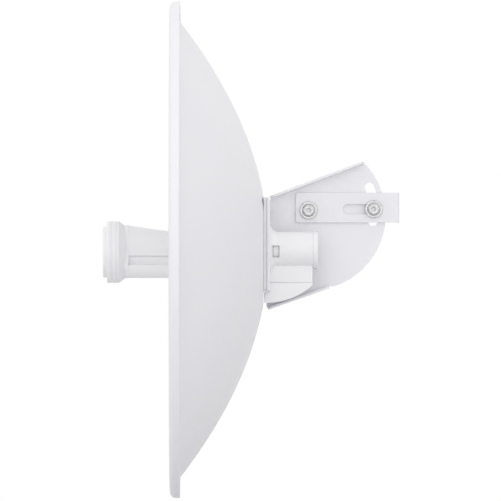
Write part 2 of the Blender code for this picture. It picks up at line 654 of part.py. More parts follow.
def feed_cap():
    """The drum at the feed's tip: a cup with a front lip, two grooves and a conical back."""
    front = -FEED_FRONT_Y
    lip, drum, inner = 0.0267, CAP_RADIUS, CAP_RADIUS - 0.0022
    profile = [(0, front), (lip - 0.0015, front), (lip, front - 0.0012), (lip, front - 0.0041)]
    profile += [(drum - 0.0014, front - 0.0043), (drum, front - 0.0054)]
    for groove in (0.0086, 0.0138):
        for depth, back in ((0, 0), (0.0009, 0.0004), (0.0009, 0.0012), (0, 0.0016)):
            profile.append((drum - depth, front - groove - back))
    profile += [(drum, front - 0.0163), (drum - 0.0010, front - 0.0173), (0.0266, front - 0.0244)]
    profile += [(0.0244, front - 0.0244), (inner - 0.0004, front - 0.0170), (inner, front - 0.0150)]
    profile += [(inner, front - 0.0066), (0.0246, front - 0.0063)]
    profile += [(0.0246, front - 0.0022), (0, front - 0.0022)]
    return turned("feed_cap", profile, AXIS_X, AXIS_Z - CAP_DROP, PLASTIC, closed=False)


def feed_antenna():
    """Inside the cap: the sub-reflector, the radiator on its small board, and its waveguide."""
    x, z = AXIS_X, AXIS_Z - CAP_DROP
    front = -FEED_FRONT_Y - 0.0028
    cone = [(0, front), (0.0238, front), (0.0238, front - 0.0008)]
    cone += [(0.0080, front - 0.0014), (0, front - 0.0060)]
    guide = [(0.0090, 0.2357), (0.0090, 0.2090), (0.0075, 0.2090), (0.0075, 0.2357)]
    seal = [(0.0210, 0.2330), (0.0210, 0.2240), (0.0190, 0.2240), (0.0190, 0.2330)]
    made = [
        turned("sub_reflector", cone, x, z, ALUMINIUM, closed=False),
        rod("radiator_board", (x, -0.2376, z), (x, -0.2360, z), 0.0200, LAMINATE, steps=ROUND_STEPS),
        turned("waveguide_tube", guide, x, z, ALUMINIUM, steps=24),
        turned("cap_seal", seal, x, z, RUBBER),
    ]
    for number, side in enumerate((-1, 1), 1):
        low, high = sorted((x + side * 0.0015, x + side * 0.0130))
        made.append(block(f"dipole_{number}", (low, -0.2389, z - 0.0020), (high, -0.2379, z + 0.0020), BRASS))
    return made


def shoulder_seal():
    """The rubber pad that closes the shells' back and presses on the dish."""
    width, height = REAR_SIZE[0] - 0.0004, REAR_SIZE[1] - 0.0004
    top = [(width * math.cos(math.pi * i / 16), height * math.sin(math.pi * i / 16)) for i in range(17)]
    depth, corner = DEPTH - 0.0004, REAR_CORNER
    left = arc((-width + corner, -depth + corner), corner, math.pi, 1.5 * math.pi, 5)
    right = arc((width - corner, -depth + corner), corner, -math.pi / 2, 0, 5)
    outline = [(AXIS_X + a, AXIS_Z + b) for a, b in top + left + right]
    hole = circle((AXIS_X, AXIS_Z), TAIL_RADIUS + GAP, 32)
    return plate("shoulder_seal", [outline, hole], "Y", SHELL_REAR_Y + GAP, SEAT_Y - DISH_SHEET - GAP, RUBBER)


def feed_tail():
    """The tube that plugs into the housing, open at the front, with openings for jack, button and tabs."""
    front, rear = -TAIL_FRONT_Y, -TAIL_REAR_Y
    inner = TAIL_RADIUS - TAIL_WALL
    profile = [(0, rear + TAIL_WALL), (inner, rear + TAIL_WALL), (inner, front), (TAIL_RADIUS, front)]
    profile += [(TAIL_RADIUS, rear + 0.001), (TAIL_RADIUS - 0.001, rear), (0, rear)]
    tail = turned("feed_tail", profile, AXIS_X, AXIS_Z, PLASTIC, closed=False)
    jack = block(
        "jack_opening",
        (AXIS_X - JACK_HALF - GAP, JACK_Y[0] - GAP, AXIS_Z - 0.03),
        (AXIS_X + JACK_HALF + GAP, JACK_Y[1] + GAP, AXIS_Z - 0.008),
        None,
    )
    start, end = (AXIS_X, RESET_Y, AXIS_Z - 0.03), (AXIS_X, RESET_Y, AXIS_Z - 0.008)
    button = rod("button_opening", start, end, 0.0018, None)
    y0, y1, z0, z1 = TAB_WINDOW
    tabs = block("tab_openings", (AXIS_X - 0.03, y0, AXIS_Z + z0), (AXIS_X + 0.03, y1, AXIS_Z + z1), None)
    cut(tail, jack, button, tabs)
    return tail


def release_tabs():
    """The two sprung tabs, pressed through the housing's windows to let the feed out."""
    y0, y1, z0, z1 = TAB_WINDOW
    made = []
    for name, side in (("near", 1), ("far", -1)):
        inner, outer = 0.0138, TAIL_RADIUS - 0.0001
        low, high = AXIS_Z + z0 + 0.0004, AXIS_Z + z1 - 0.0004
        tab = block(
            f"release_tab_{name}",
            (min(AXIS_X + side * inner, AXIS_X + side * outer), y0 + 0.0004, low),
            (max(AXIS_X + side * inner, AXIS_X + side * outer), y1 - 0.0004, high),
            PLASTIC,
        )
        trim = turned(
            f"tab_{name}_trim",
            [(0.03, 0.1), (0.03, 0.05), (TAIL_RADIUS - 0.0001, 0.05), (TAIL_RADIUS - 0.0001, 0.1)],
            AXIS_X, AXIS_Z, None, steps=48,
        )
        cut(tab, trim)
        made.append(tab)
    return made


def electronics():
    """Main board with its shield, heat spreader, screws and Ethernet jack."""
    under, over = AXIS_Z + BOARD_Z, AXIS_Z + BOARD_Z + BOARD_THICKNESS

    def centred(name, half, y, z, look):
        """A block centred on the dish's axis in X."""
        return block(name, (AXIS_X - half, y[0], z[0]), (AXIS_X + half, y[1], z[1]), look)

    screws = [(AXIS_X, -0.1850), (AXIS_X, -0.1150)]
    outline = rounded_box((AXIS_X - BOARD_HALF, -0.2050), (AXIS_X + BOARD_HALF, -0.0410), 0.0015)
    holes = [circle(at, 0.0016, 12) for at in screws]
    board = plate("main_board", [outline, *holes], "Z", under, over, LAMINATE)
    spreader = centred("heat_spreader", 0.009, (-0.1900, -0.1100), (over + GAP, over + 0.0035), ALUMINIUM)
    made = [board, spreader]
    for number, (x, y) in enumerate(screws, 1):

        def upright(name, low, high, radius, look):
            return rod(f"{name}_{number}", (x, y, low), (x, y, high), radius, look, steps=12)

        cut(spreader, upright("spreader_hole", over - 0.002, over + 0.0028, 0.0016, None))
        screw = upright("board_screw", under - 0.0018, under - GAP, 0.0027, ZINC)
        join(screw, upright("board_screw_shank", under - 0.001, over + 0.0024, 0.0013, None))
        made.append(screw)
    shield = centred("rf_shield", 0.009, (-0.1750, -0.1250), (under - 0.0040, under - GAP), TIN)
    cut(shield, centred("shield_hollow", 0.0085, (-0.1745, -0.1255), (under - 0.0035, under + 0.001), None))
    jack = centred("ethernet_jack", JACK_HALF, JACK_Y, (AXIS_Z - 0.0141, under - GAP), TIN)
    middle = sum(JACK_Y) / 2
    mouth = (middle - 0.0034, middle + 0.0034)
    cut(jack, centred("jack_mouth", 0.0059, mouth, (AXIS_Z - 0.02, AXIS_Z - 0.0015), None))
    return [*made, shield, jack]


def reset_button():
    top, bottom = AXIS_Z - 0.0115, AXIS_Z - 0.0162
    return rod("reset_button", (AXIS_X, RESET_Y, bottom), (AXIS_X, RESET_Y, top), 0.0014, BUTTON, steps=12)


# ---------------------------------------------------------------- assembly
def carried_by(name, location, pieces, parent=None):
    """An empty on a joint's axis that carries the pieces which move with it."""
    empty = bpy.data.objects.new(name, None)
    empty.location = location
    empty.empty_display_size = 0.03
    PARTS.objects.link(empty)
    for piece in pieces:
        hold(piece, empty)
    if parent:
        hold(empty, parent)
    return empty


def hold(child, parent):
    """Parents the child where it is."""
    bpy.context.view_layer.update()
    child.parent = parent
    child.matrix_parent_inverse = parent.matrix_world.inverted()


def assemble():
    pole_bracket()
    bolts()
    carried_by("clamp_travel_axis", (0, 0, 0), clamp())
    antenna = [dish(), dish_gasket(), dish_bracket(), rear_housing(), housing_end_cap(), *dish_fasteners()]
    tilt = carried_by("elevation_tilt_axis", (EAR_X + SHEET / 2, *PIVOT), antenna)
    carried_by("cable_cover_axis", (AXIS_X, -0.058, CHUTE_SPLIT), [cable_cover()], tilt)
    pieces = [*feed_shells(), feed_cap(), *feed_antenna(), shoulder_seal(), feed_tail(), *electronics()]
    feed = carried_by("feed_slide_axis", (AXIS_X, SEAT_Y, AXIS_Z), pieces, tilt)
    tab_y = (TAB_WINDOW[0] + TAB_WINDOW[1]) / 2
    near, far = release_tabs()
    carried_by("release_tab_near_axis", (AXIS_X + TAIL_RADIUS, tab_y, AXIS_Z), [near], feed)
    carried_by("release_tab_far_axis", (AXIS_X - TAIL_RADIUS, tab_y, AXIS_Z), [far], feed)
    carried_by("reset_axis", (AXIS_X, RESET_Y, AXIS_Z - TAIL_RADIUS), [reset_button()], feed)


assemble()
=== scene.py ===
"""Outdoor wireless bridge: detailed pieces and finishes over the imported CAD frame.

Metres, +Z up. The dish faces -Y, the bolt heads are on the +X side and the pole's axis is at the
origin. "Forward" is minus Y.
"""

import json
from math import acos, asin, atan, atan2, copysign, cos, dist, pi, radians, sin, sqrt, tan, tau

import bmesh
import bpy
import numpy as np
from mathutils import Matrix, Vector


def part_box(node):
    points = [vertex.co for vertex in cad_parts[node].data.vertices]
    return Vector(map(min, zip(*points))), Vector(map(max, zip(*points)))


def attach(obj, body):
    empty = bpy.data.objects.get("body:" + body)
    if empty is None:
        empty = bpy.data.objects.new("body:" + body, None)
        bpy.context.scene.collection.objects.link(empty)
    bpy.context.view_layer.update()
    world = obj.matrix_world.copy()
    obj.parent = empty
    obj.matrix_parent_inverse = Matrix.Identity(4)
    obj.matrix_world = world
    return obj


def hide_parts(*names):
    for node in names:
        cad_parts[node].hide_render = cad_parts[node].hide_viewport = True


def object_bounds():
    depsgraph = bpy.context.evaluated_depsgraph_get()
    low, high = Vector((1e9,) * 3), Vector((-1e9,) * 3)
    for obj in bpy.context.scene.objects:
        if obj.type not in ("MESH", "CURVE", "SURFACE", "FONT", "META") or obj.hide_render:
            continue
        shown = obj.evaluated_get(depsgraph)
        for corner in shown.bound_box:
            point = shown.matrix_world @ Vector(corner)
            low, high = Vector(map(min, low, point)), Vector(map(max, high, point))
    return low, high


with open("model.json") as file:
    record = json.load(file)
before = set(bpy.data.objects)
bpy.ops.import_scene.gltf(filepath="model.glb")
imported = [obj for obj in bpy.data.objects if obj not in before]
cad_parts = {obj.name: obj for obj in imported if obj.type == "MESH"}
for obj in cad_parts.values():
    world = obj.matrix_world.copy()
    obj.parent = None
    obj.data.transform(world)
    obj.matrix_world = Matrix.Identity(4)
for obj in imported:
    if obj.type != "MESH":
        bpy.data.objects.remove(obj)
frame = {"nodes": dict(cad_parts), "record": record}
CAD_LOW, CAD_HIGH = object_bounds()

# -------- places, from the frame
RECORD = frame["record"]
BODY_OF = {node: body for body, nodes in RECORD["behaviour"]["bodies"].items() for node in nodes}
SLOT_OF = {part["node"]: part["material_slot"] for part in RECORD["subparts"]}

DISH_LOW, DISH_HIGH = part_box("dish")
AXIS = AXIS_X, AXIS_Z = (DISH_LOW.x + DISH_HIGH.x) / 2, (DISH_LOW.z + DISH_HIGH.z) / 2
SHEET = 0.0025  # thickness of the folded steel
TURN, HALF, QUARTER = tau, pi, pi / 2
PIECE = "piece"  # the name of a mesh until it stands for a CAD node
CREASE, FINE_CREASE = radians(40), radians(32)  # angles above which the shading breaks


# -------- outlines
def arc(centre, radius, start, end, steps):
    """Points along an arc, both ends included; angles in radians."""
    angles = np.linspace(start, end, steps + 1)
    return [(centre[0] + radius * cos(a), centre[1] + radius * sin(a)) for a in angles]


def circle(centre, radius, steps=64):
    return arc(centre, radius, 0, TURN * (steps - 1) / steps, steps - 1)


def stadium(first, second, half, steps=20):
    way = atan2(second[1] - first[1], second[0] - first[0])
    ahead = arc(second, half, way - QUARTER, way + QUARTER, steps)
    return ahead + arc(first, half, way + QUARTER, way + 3 * QUARTER, steps)


def rectangle(us, vs):
    return [(us[0], vs[0]), (us[1], vs[0]), (us[1], vs[1]), (us[0], vs[1])]


def arc_slot(centre, radius, start, end, half, steps=28):
    """A slot with round ends that follows an arc."""
    (tip,), (root,) = arc(centre, radius, end, end, 0), arc(centre, radius, start, start, 0)
    tip_end = arc(tip, half, end, end + HALF, steps // 2)[1:-1]
    root_end = arc(root, half, start + HALF, start + TURN, steps // 2)[1:-1]
    near = arc(centre, radius - half, end, start, steps)
    return arc(centre, radius + half, start, end, steps) + tip_end + near + root_end


def soften(points, radius, steps=5, closed=False):
    """Rounds the corners of a polyline; radius is one number, or one for each point."""
    count = len(points)
    radii = [radius] * count if isinstance(radius, (int, float)) else list(radius)
    nearly_straight, most = HALF - 0.02, 0.48  # most: the share of a side that one corner may take
    made = []
    for i, point in enumerate(points):
        here = Vector(point)
        before, after = Vector(points[i - 1]) - here, Vector(points[(i + 1) % count]) - here
        at_end = not closed and i in (0, count - 1)
        sharp = at_end or radii[i] <= 0 or min(before.length, after.length) < 1e-9
        inside = HALF if sharp else before.angle(after)
        if inside > nearly_straight:
            made.append(tuple(here))
            continue
        slope = tan(inside / 2)
        reach = min(radii[i] / slope, before.length * most, after.length * most)
        size = reach * slope
        before.normalize()
        after.normalize()
        middle = here + (before + after).normalized() * (size / sin(inside / 2))
        first, last = here + before * reach - middle, here + after * reach - middle
        begin = atan2(first.y, first.x)
        turn = atan2(first.x * last.y - first.y * last.x, first.dot(last))
        made += arc(middle, size, begin, begin + turn, steps)
    return made


# -------- meshes
def linked(name, data):
    obj = bpy.data.objects.new(name, data)
    bpy.context.scene.collection.objects.link(obj)
    return obj


def new_object(name, vertices, faces):
    mesh = bpy.data.meshes.new(name)
    mesh.from_pydata([tuple(v) for v in vertices], [], faces)
    mesh.update()
    return linked(name, mesh)


def outward(obj):
    """Welds doubles and turns every face outwards."""
    shape = bmesh.new()
    shape.from_mesh(obj.data)
    bmesh.ops.remove_doubles(shape, verts=shape.verts, dist=1e-7)
    bmesh.ops.recalc_face_normals(shape, faces=shape.faces)
    shape.to_mesh(obj.data)
    shape.free()
    return obj


def skin(rings, loop=False):
    """A surface through rings of as many points each, with flat ends unless the rings close up."""
    count, size = len(rings), len(rings[0])
    points = np.concatenate([np.asarray(ring, float) for ring in rings])
    faces = []
    for i in range(count if loop else count - 1):
        a, b = i * size, (i + 1) % count * size
        faces += [(a + j, a + (j + 1) % size, b + (j + 1) % size, b + j) for j in range(size)]
    if not loop:
        faces += [tuple(range(size)), tuple(range((count - 1) * size, count * size))]
    return outward(new_object(PIECE, points, faces))


def along_x(profile, centre, steps, shape=None):
    """Rings for (radius, x) points about an axis along X through centre (y, z).

    shape(angles, x, radius) may vary the radius round a ring.
    """
    angles = np.arange(steps) * TURN / steps
    rings = []
    for radius, x in profile:
        r = shape(angles, x, radius) if shape else radius
        u, v = centre[0] + r * np.cos(angles), centre[1] + r * np.sin(angles)
        rings.append(np.column_stack([np.full(steps, x), u, v]))
    return rings


def along_y(profile, centre, steps, shape=None):
    """The same about an axis along Y through centre (x, z), with profile points (radius, y)."""
    return [ring[:, [1, 0, 2]] for ring in along_x(profile, centre, steps, shape)]


def turned(profile, centre, steps=128, loop=False):
    """A profile of (radius, forward) points turned about an axis along Y through centre (x, z)."""
    return skin(along_y([(r, -forward) for r, forward in profile], centre, steps), loop)


def upright(x, facing=1):
    """Takes a flat pattern's u, v and w to Y, Z and X, or minus X, starting from x."""
    return Matrix(((0, 0, facing, x), (1, 0, 0, 0), (0, 1, 0, 0), (0, 0, 0, 1)))


def across(y):
    """Takes a flat pattern's u, v and w to X, Z and Y, starting from y."""
    return Matrix(((1, 0, 0, 0), (0, 0, 1, y), (0, 1, 0, 0), (0, 0, 0, 1)))


def sheet_mesh(outlines, thickness, edge=0.0003, resolution=1, to_world=None):
    """A flat sheet with rounded edges: outline, then holes, in (u, v), from w = 0 to the thickness."""
    curve = bpy.data.curves.new(PIECE, "CURVE")
    curve.dimensions = "2D"
    curve.fill_mode = "BOTH"
    curve.extrude = thickness / 2 - edge
    curve.bevel_depth = edge
    curve.bevel_resolution = resolution
    curve.offset = -edge
    for outline in outlines:
        spline = curve.splines.new("POLY")
        spline.points.add(len(outline) - 1)
        for point, (a, b) in zip(spline.points, outline):
            point.co = (a, b, 0, 1)
        spline.use_cyclic_u = True
    guide = linked(PIECE, curve)
    graph = bpy.context.evaluated_depsgraph_get()
    mesh = bpy.data.meshes.new_from_object(guide.evaluated_get(graph))
    bpy.data.objects.remove(guide, do_unlink=True)
    bpy.data.curves.remove(curve)
    mesh.transform((to_world or Matrix()) @ Matrix.Translation((0, 0, thickness / 2)))
    mesh.materials.clear()
    return outward(linked(PIECE, mesh))


class Fold:
    """A bend beyond a line: origin and way out in (u, v), the angle, the inner radius, and the side."""

    def __init__(self, origin, out, angle, inner, up=1, where=None, steps=8):
        self.origin, self.out = np.array(origin, float), np.array(out, float)
        self.out /= np.linalg.norm(self.out)
        self.angle, self.inner, self.up, self.where, self.steps = angle, inner, up, where, steps
        self.length = angle * (inner + SHEET / 2)

    def cuts(self, shape):
        for i in range(self.steps + 1):
            at = self.origin + self.out * self.length * i / self.steps
            bmesh.ops.bisect_plane(
                shape, geom=[*shape.verts, *shape.edges, *shape.faces], dist=1e-7,
                plane_co=(*at, 0), plane_no=(*self.out, 0),
            )

    def bend(self, now, rest):
        s = (now[:, :2] - self.origin) @ self.out
        chosen = s > 0
        if self.where:
            chosen &= self.where(rest)
        middle = SHEET + self.inner if self.up > 0 else -self.inner
        angle = np.clip(s / self.length, 0, 1) * self.angle
        past = np.maximum(s - self.length, 0)
        arm = (middle - now[:, 2]) * self.up
        reach = arm * np.sin(angle) + past * np.cos(angle)
        height = middle - self.up * (arm * np.cos(angle) - past * np.sin(angle))
        now[chosen, :2] += np.outer(reach - s, self.out)[chosen]
        now[chosen, 2] = height[chosen]


def folded(outlines, folds, to_world):
    """A flat sheet of steel, cut out with its holes and then folded; to_world takes (u, v, w)."""
    obj = sheet_mesh(outlines, SHEET)
    shape = bmesh.new()
    shape.from_mesh(obj.data)
    for fold in folds:
        fold.cuts(shape)
    rest = np.array([v.co for v in shape.verts])
    now = rest.copy()
    for fold in folds:
        fold.bend(now, rest)
    for vertex, point in zip(shape.verts, now):
        vertex.co = to_world @ Vector(point)
    bmesh.ops.recalc_face_normals(shape, faces=shape.faces)
    shape.to_mesh(obj.data)
    shape.free()
    return obj


def boxed(low, high, radius=0.0, facing="Z"):
    """A block whose edges along X or Z are rounded."""
    a, b, c = (1, 2, 0) if facing == "X" else (0, 1, 2)
    outline = soften(rectangle((low[a], high[a]), (low[b], high[b])), radius, closed=True)
    points = np.zeros((2, len(outline), 3))
    points[:, :, [a, b]] = outline
    points[0, :, c], points[1, :, c] = low[c], high[c]
    return skin(points)


def middle_box(half, ys, zs, radius=0.0, facing="Z"):
    """A block that reaches as far to both sides of the dish's axis."""
    low, high = zip(ys, zs)
    return boxed((AXIS_X - half, *low), (AXIS_X + half, *high), radius, facing)


def combine(obj, *others, operation="DIFFERENCE"):
    """Cuts each other from obj in turn, or joins it on, and removes it."""
    for other in others:
        boolean = obj.modifiers.new("combine", "BOOLEAN")
        boolean.operation, boolean.solver, boolean.object = operation, "EXACT", other
        graph = bpy.context.evaluated_depsgraph_get()
        mesh = bpy.data.meshes.new_from_object(obj.evaluated_get(graph))
        obj.modifiers.clear()
        obj.data = mesh
        bpy.data.objects.remove(other, do_unlink=True)
    return obj


# -------- finishes
def fill(tree, node, *ordered, **named):
    """Gives a node its values: its first sockets in order, and others by name.

    A name with a small first letter is a setting, not a socket. Another node's output is linked.
    """
    sockets = dict(enumerate(ordered))
    for name, value in named.items():
        if name[0].islower():
            setattr(node, name, value)
        else:
            sockets[name.replace("_", " ")] = value
    for key, value in sockets.items():
        if isinstance(value, bpy.types.NodeSocket):
            tree.links.new(value, node.inputs[key])
        else:
            node.inputs[key].default_value = value
    return node


class Nodes:
    """A material's node tree, with short calls for what the finishes share."""

    def __init__(self, name, colour, roughness, metallic=0.0, **sockets):
        self.material = bpy.data.materials.new(name)
        self.material.use_nodes = True
        self.tree = self.material.node_tree
        self.shader = self.tree.nodes["Principled BSDF"]
        self.give(Base_Color=(*colour, 1.0), Roughness=roughness, Metallic=metallic, **sockets)
        self.place = self.new("ShaderNodeTexCoord")["Object"]
        self.raised = {}

    def new(self, kind, *ordered, **named):
        """Adds a node and returns its outputs."""
        return fill(self.tree, self.tree.nodes.new(kind), *ordered, **named).outputs

    def give(self, **sockets):
        fill(self.tree, self.shader, **sockets)

    def stretched(self, scale):
        return self.new("ShaderNodeMapping", Vector=self.place, Scale=scale)["Vector"]

    def noise(self, scale, detail=2.0, rough=0.5, place=None):
        values = {"Scale": scale, "Detail": detail, "Roughness": rough}
        return self.new("ShaderNodeTexNoise", Vector=place or self.place, **values)["Fac"]

    def cells(self, scale, place=None, feature="F1"):
        place = place or self.place
        return self.new("ShaderNodeTexVoronoi", Vector=place, Scale=scale, feature=feature)["Distance"]

    def ranged(self, value, low, high, start=0.3, end=0.7):
        limits = {"From_Min": start, "From_Max": end, "To_Min": low, "To_Max": high}
        return self.new("ShaderNodeMapRange", Value=value, **limits)["Result"]

    def colour(self, value, low, high, start=0.3, end=0.7):
        ramp = fill(self.tree, self.tree.nodes.new("ShaderNodeValToRGB"), Fac=value)
        for element, at, colour in zip(ramp.color_ramp.elements, (start, end), (low, high)):
            element.position, element.color = at, (*colour, 1.0)
        self.give(Base_Color=ramp.outputs["Color"])

    def roughness(self, value, low, high):
        self.give(Roughness=self.ranged(value, low, high))

    def bump(self, value, strength, height):
        """Raises the surface, over what earlier calls raised."""
        values = {"Height": value, "Strength": strength, "Distance": height, **self.raised}
        self.raised = {"Normal": self.new("ShaderNodeBump", **values)["Normal"]}
        self.give(**self.raised)


def powder_coat():
    """White powder coat: a fine orange peel, with pinhead grain, over smooth sheet."""
    look = Nodes("powder_coat", (0.80, 0.80, 0.83), 0.42, Specular_IOR_Level=0.45)
    look.colour(look.noise(9, 3), (0.795, 0.795, 0.828), (0.812, 0.812, 0.838))
    look.roughness(look.noise(60, 4), 0.36, 0.47)
    look.bump(look.noise(420, 2, 0.4), 0.16, 0.00025)
    look.bump(look.cells(2600), 0.10, 0.00008)
    return look.material


def white_plastic(name="white_plastic", colour=(0.85, 0.85, 0.86)):
    """Satin moulded plastic: a fine spark-eroded texture and faint flow marks."""
    look = Nodes(name, colour, 0.38, Specular_IOR_Level=0.5)
    low = tuple(c * 0.985 for c in colour)
    look.colour(look.noise(14, 3), low, colour)
    look.roughness(look.noise(110, 3), 0.33, 0.44)
    look.bump(look.noise(2400, 3, 0.6), 0.12, 0.00006)
    look.bump(look.noise(90, 2), 0.05, 0.0004)
    return look.material


def zinc_steel():
    """Dull zinc plate, mottled, with light scuffs and a trace of white bloom."""
    look = Nodes("zinc_steel", (0.50, 0.50, 0.51), 0.32, 1.0)
    look.colour(look.noise(520, 5, 0.65), (0.40, 0.40, 0.41), (0.60, 0.60, 0.60), 0.30, 0.72)
    look.roughness(look.noise(900, 4, 0.6), 0.22, 0.42)
    look.bump(look.noise(1, 4, 0.7, look.stretched((300, 2600, 400))), 0.12, 0.00006)
    look.bump(look.noise(1500, 3), 0.15, 0.00005)
    return look.material


def rubber():
    """Pale grey silicone, with a dusty bloom."""
    look = Nodes("rubber", (0.74, 0.74, 0.75), 0.70, Specular_IOR_Level=0.35)
    look.colour(look.noise(70, 4), (0.70, 0.70, 0.71), (0.77, 0.77, 0.78))
    look.roughness(look.noise(300, 3), 0.62, 0.80)
    look.bump(look.noise(1600, 3, 0.6), 0.3, 0.0001)
    return look.material


def laminate():
    """Green solder mask over the glass weave, with paler runs where copper lies below."""
    look = Nodes("laminate", (0.03, 0.17, 0.07), 0.35, Specular_IOR_Level=0.55)
    tracks = look.cells(420, look.stretched((1, 0.35, 1)), "DISTANCE_TO_EDGE")
    look.colour(tracks, (0.06, 0.27, 0.11), (0.022, 0.135, 0.055), 0.02, 0.12)
    look.roughness(look.noise(500, 3), 0.28, 0.45)
    weave = look.new("ShaderNodeTexWave", Vector=look.place, Scale=700)["Fac"]
    look.bump(weave, 0.08, 0.00004)
    return look.material


def metal(name, low, high, rough, grain):
    """Bare metal with a brushed grain; grain is the stretch of its marks."""
    look = Nodes(name, high, rough, 1.0)
    look.colour(look.noise(120, 4), low, high)
    look.roughness(look.noise(400, 4), rough * 0.8, rough * 1.25)
    look.bump(look.noise(1, 3, 0.7, look.stretched(grain)), 0.15, 0.00005)
    return look.material


LOOKS = {
    "powder_coat": powder_coat(),
    "white_plastic": white_plastic(),
    "zinc_steel": zinc_steel(),
    "rubber": rubber(),
    "laminate": laminate(),
    "brass": metal("brass", (0.55, 0.38, 0.15), (0.75, 0.56, 0.26), 0.28, (200, 3000, 200)),
    "aluminium": metal("aluminium", (0.66, 0.67, 0.68), (0.80, 0.81, 0.82), 0.34, (3000, 150, 3000)),
    "tin_plate": metal("tin_plate", (0.52, 0.52, 0.51), (0.68, 0.68, 0.67), 0.26, (400, 2600, 400)),
    "button_plastic": white_plastic("button_plastic", (0.10, 0.10, 0.11)),
}


def stand_for(obj, node, crease=CREASE, weigh=True):
    """obj takes the place, the body, the slot and the finish of a CAD node."""
    obj.name = obj.data.name = "fine_" + node
    obj.data.materials.clear()
    obj.data.materials.append(LOOKS[SLOT_OF[node]])
    obj.data.shade_smooth()
    obj.data.set_sharp_from_angle(angle=crease)
    if weigh:
        normals = obj.modifiers.new("flat faces stay flat", "WEIGHTED_NORMAL")
        normals.keep_sharp = True
        normals.weight = 80
    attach(obj, BODY_OF[node])
    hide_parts(node)
    return obj


# -------- dish
FOCAL_LENGTH = 0.154
DISH_RADIUS = (DISH_HIGH.x - DISH_LOW.x) / 2
DISH_SHEET = 0.001
VERTEX = 0.0797  # forward of the pole's axis, where the paraboloid's back crosses its own axis
SEAT, SEAT_RADIUS = -DISH_HIGH.y, 0.0535  # back face of the dish's flat seat, and its size
SEAT_BEND, SEAT_SLOPE = 0.009, 0.2  # width of the soft bend round the seat, and the slope it ends with
BOWL_START, BOWL_END = 0.064, 0.2497  # the radii between which the bowl is a paraboloid
RIM_BACK, RIM_CENTRE, RIM_ROLL = 0.1723, 0.17649, 0.0057
HUB_HOLE, BOLT_HOLE = 0.0175, 0.0043
DISH_BOLTS = [(AXIS_X + x, AXIS_Z + z) for x in (-0.026, 0.026) for z in (-0.038, 0.038)]


def dish():
    """The drawn reflector, its sheet followed round the rolled rim."""
    back, front = [], []

    def add(radius, forward, angle):
        """One point of the back, and of the front beside it; angle is the way the front faces."""
        back.append((radius, forward))
        front.append((radius + DISH_SHEET * cos(angle), forward + DISH_SHEET * sin(angle)))

    for radius in (HUB_HOLE, 0.020, 0.030, 0.045, SEAT_RADIUS):
        add(radius, SEAT, QUARTER)
    for share in np.linspace(0, 1, 9)[1:]:
        rise = SEAT_BEND * SEAT_SLOPE * share**2 / 2
        add(SEAT_RADIUS + SEAT_BEND * share, SEAT + rise, QUARTER + SEAT_SLOPE * share)
    for radius in np.linspace(BOWL_START, BOWL_END, 61):
        slope = atan(radius / (2 * FOCAL_LENGTH))
        add(radius, VERTEX + radius**2 / (4 * FOCAL_LENGTH), QUARTER + slope)
    middle = DISH_RADIUS - DISH_SHEET - RIM_ROLL
    for angle in np.linspace(QUARTER + atan(BOWL_END / (2 * FOCAL_LENGTH)), 0, 25)[1:]:
        add(middle + RIM_ROLL * cos(angle), RIM_CENTRE + RIM_ROLL * sin(angle), angle)
    half = DISH_SHEET / 2
    add(DISH_RADIUS - DISH_SHEET, RIM_BACK + half, 0)
    lip = arc((DISH_RADIUS - half, RIM_BACK + half), half, 0, -HALF, 6)[1:-1]
    bowl = turned(front + lip + back[::-1], AXIS, steps=288, loop=True)
    drill = [(0.0033, -SEAT - 0.004), (0.0033, -SEAT + 0.003)]
    combine(bowl, *[skin(along_y(drill, at, 40)) for at in DISH_BOLTS])
    return stand_for(bowl, "dish", weigh=False)


# -------- dish bracket
PLATE_BACK = 0.0798
PLATE_NEAR_X = 0.105
PLATE_LOW_Z, PLATE_TOP_Z = -0.0885, 0.011
NUT_HOLE = 0.0046
EAR_X = 0.031
PIVOT, TILT_BOLT = (-0.0375, -0.0028), (0.0308, -0.0016)
BEND = 0.001  # inner radius of the bracket's folds
CORNER = BEND + SHEET  # and their outer radius


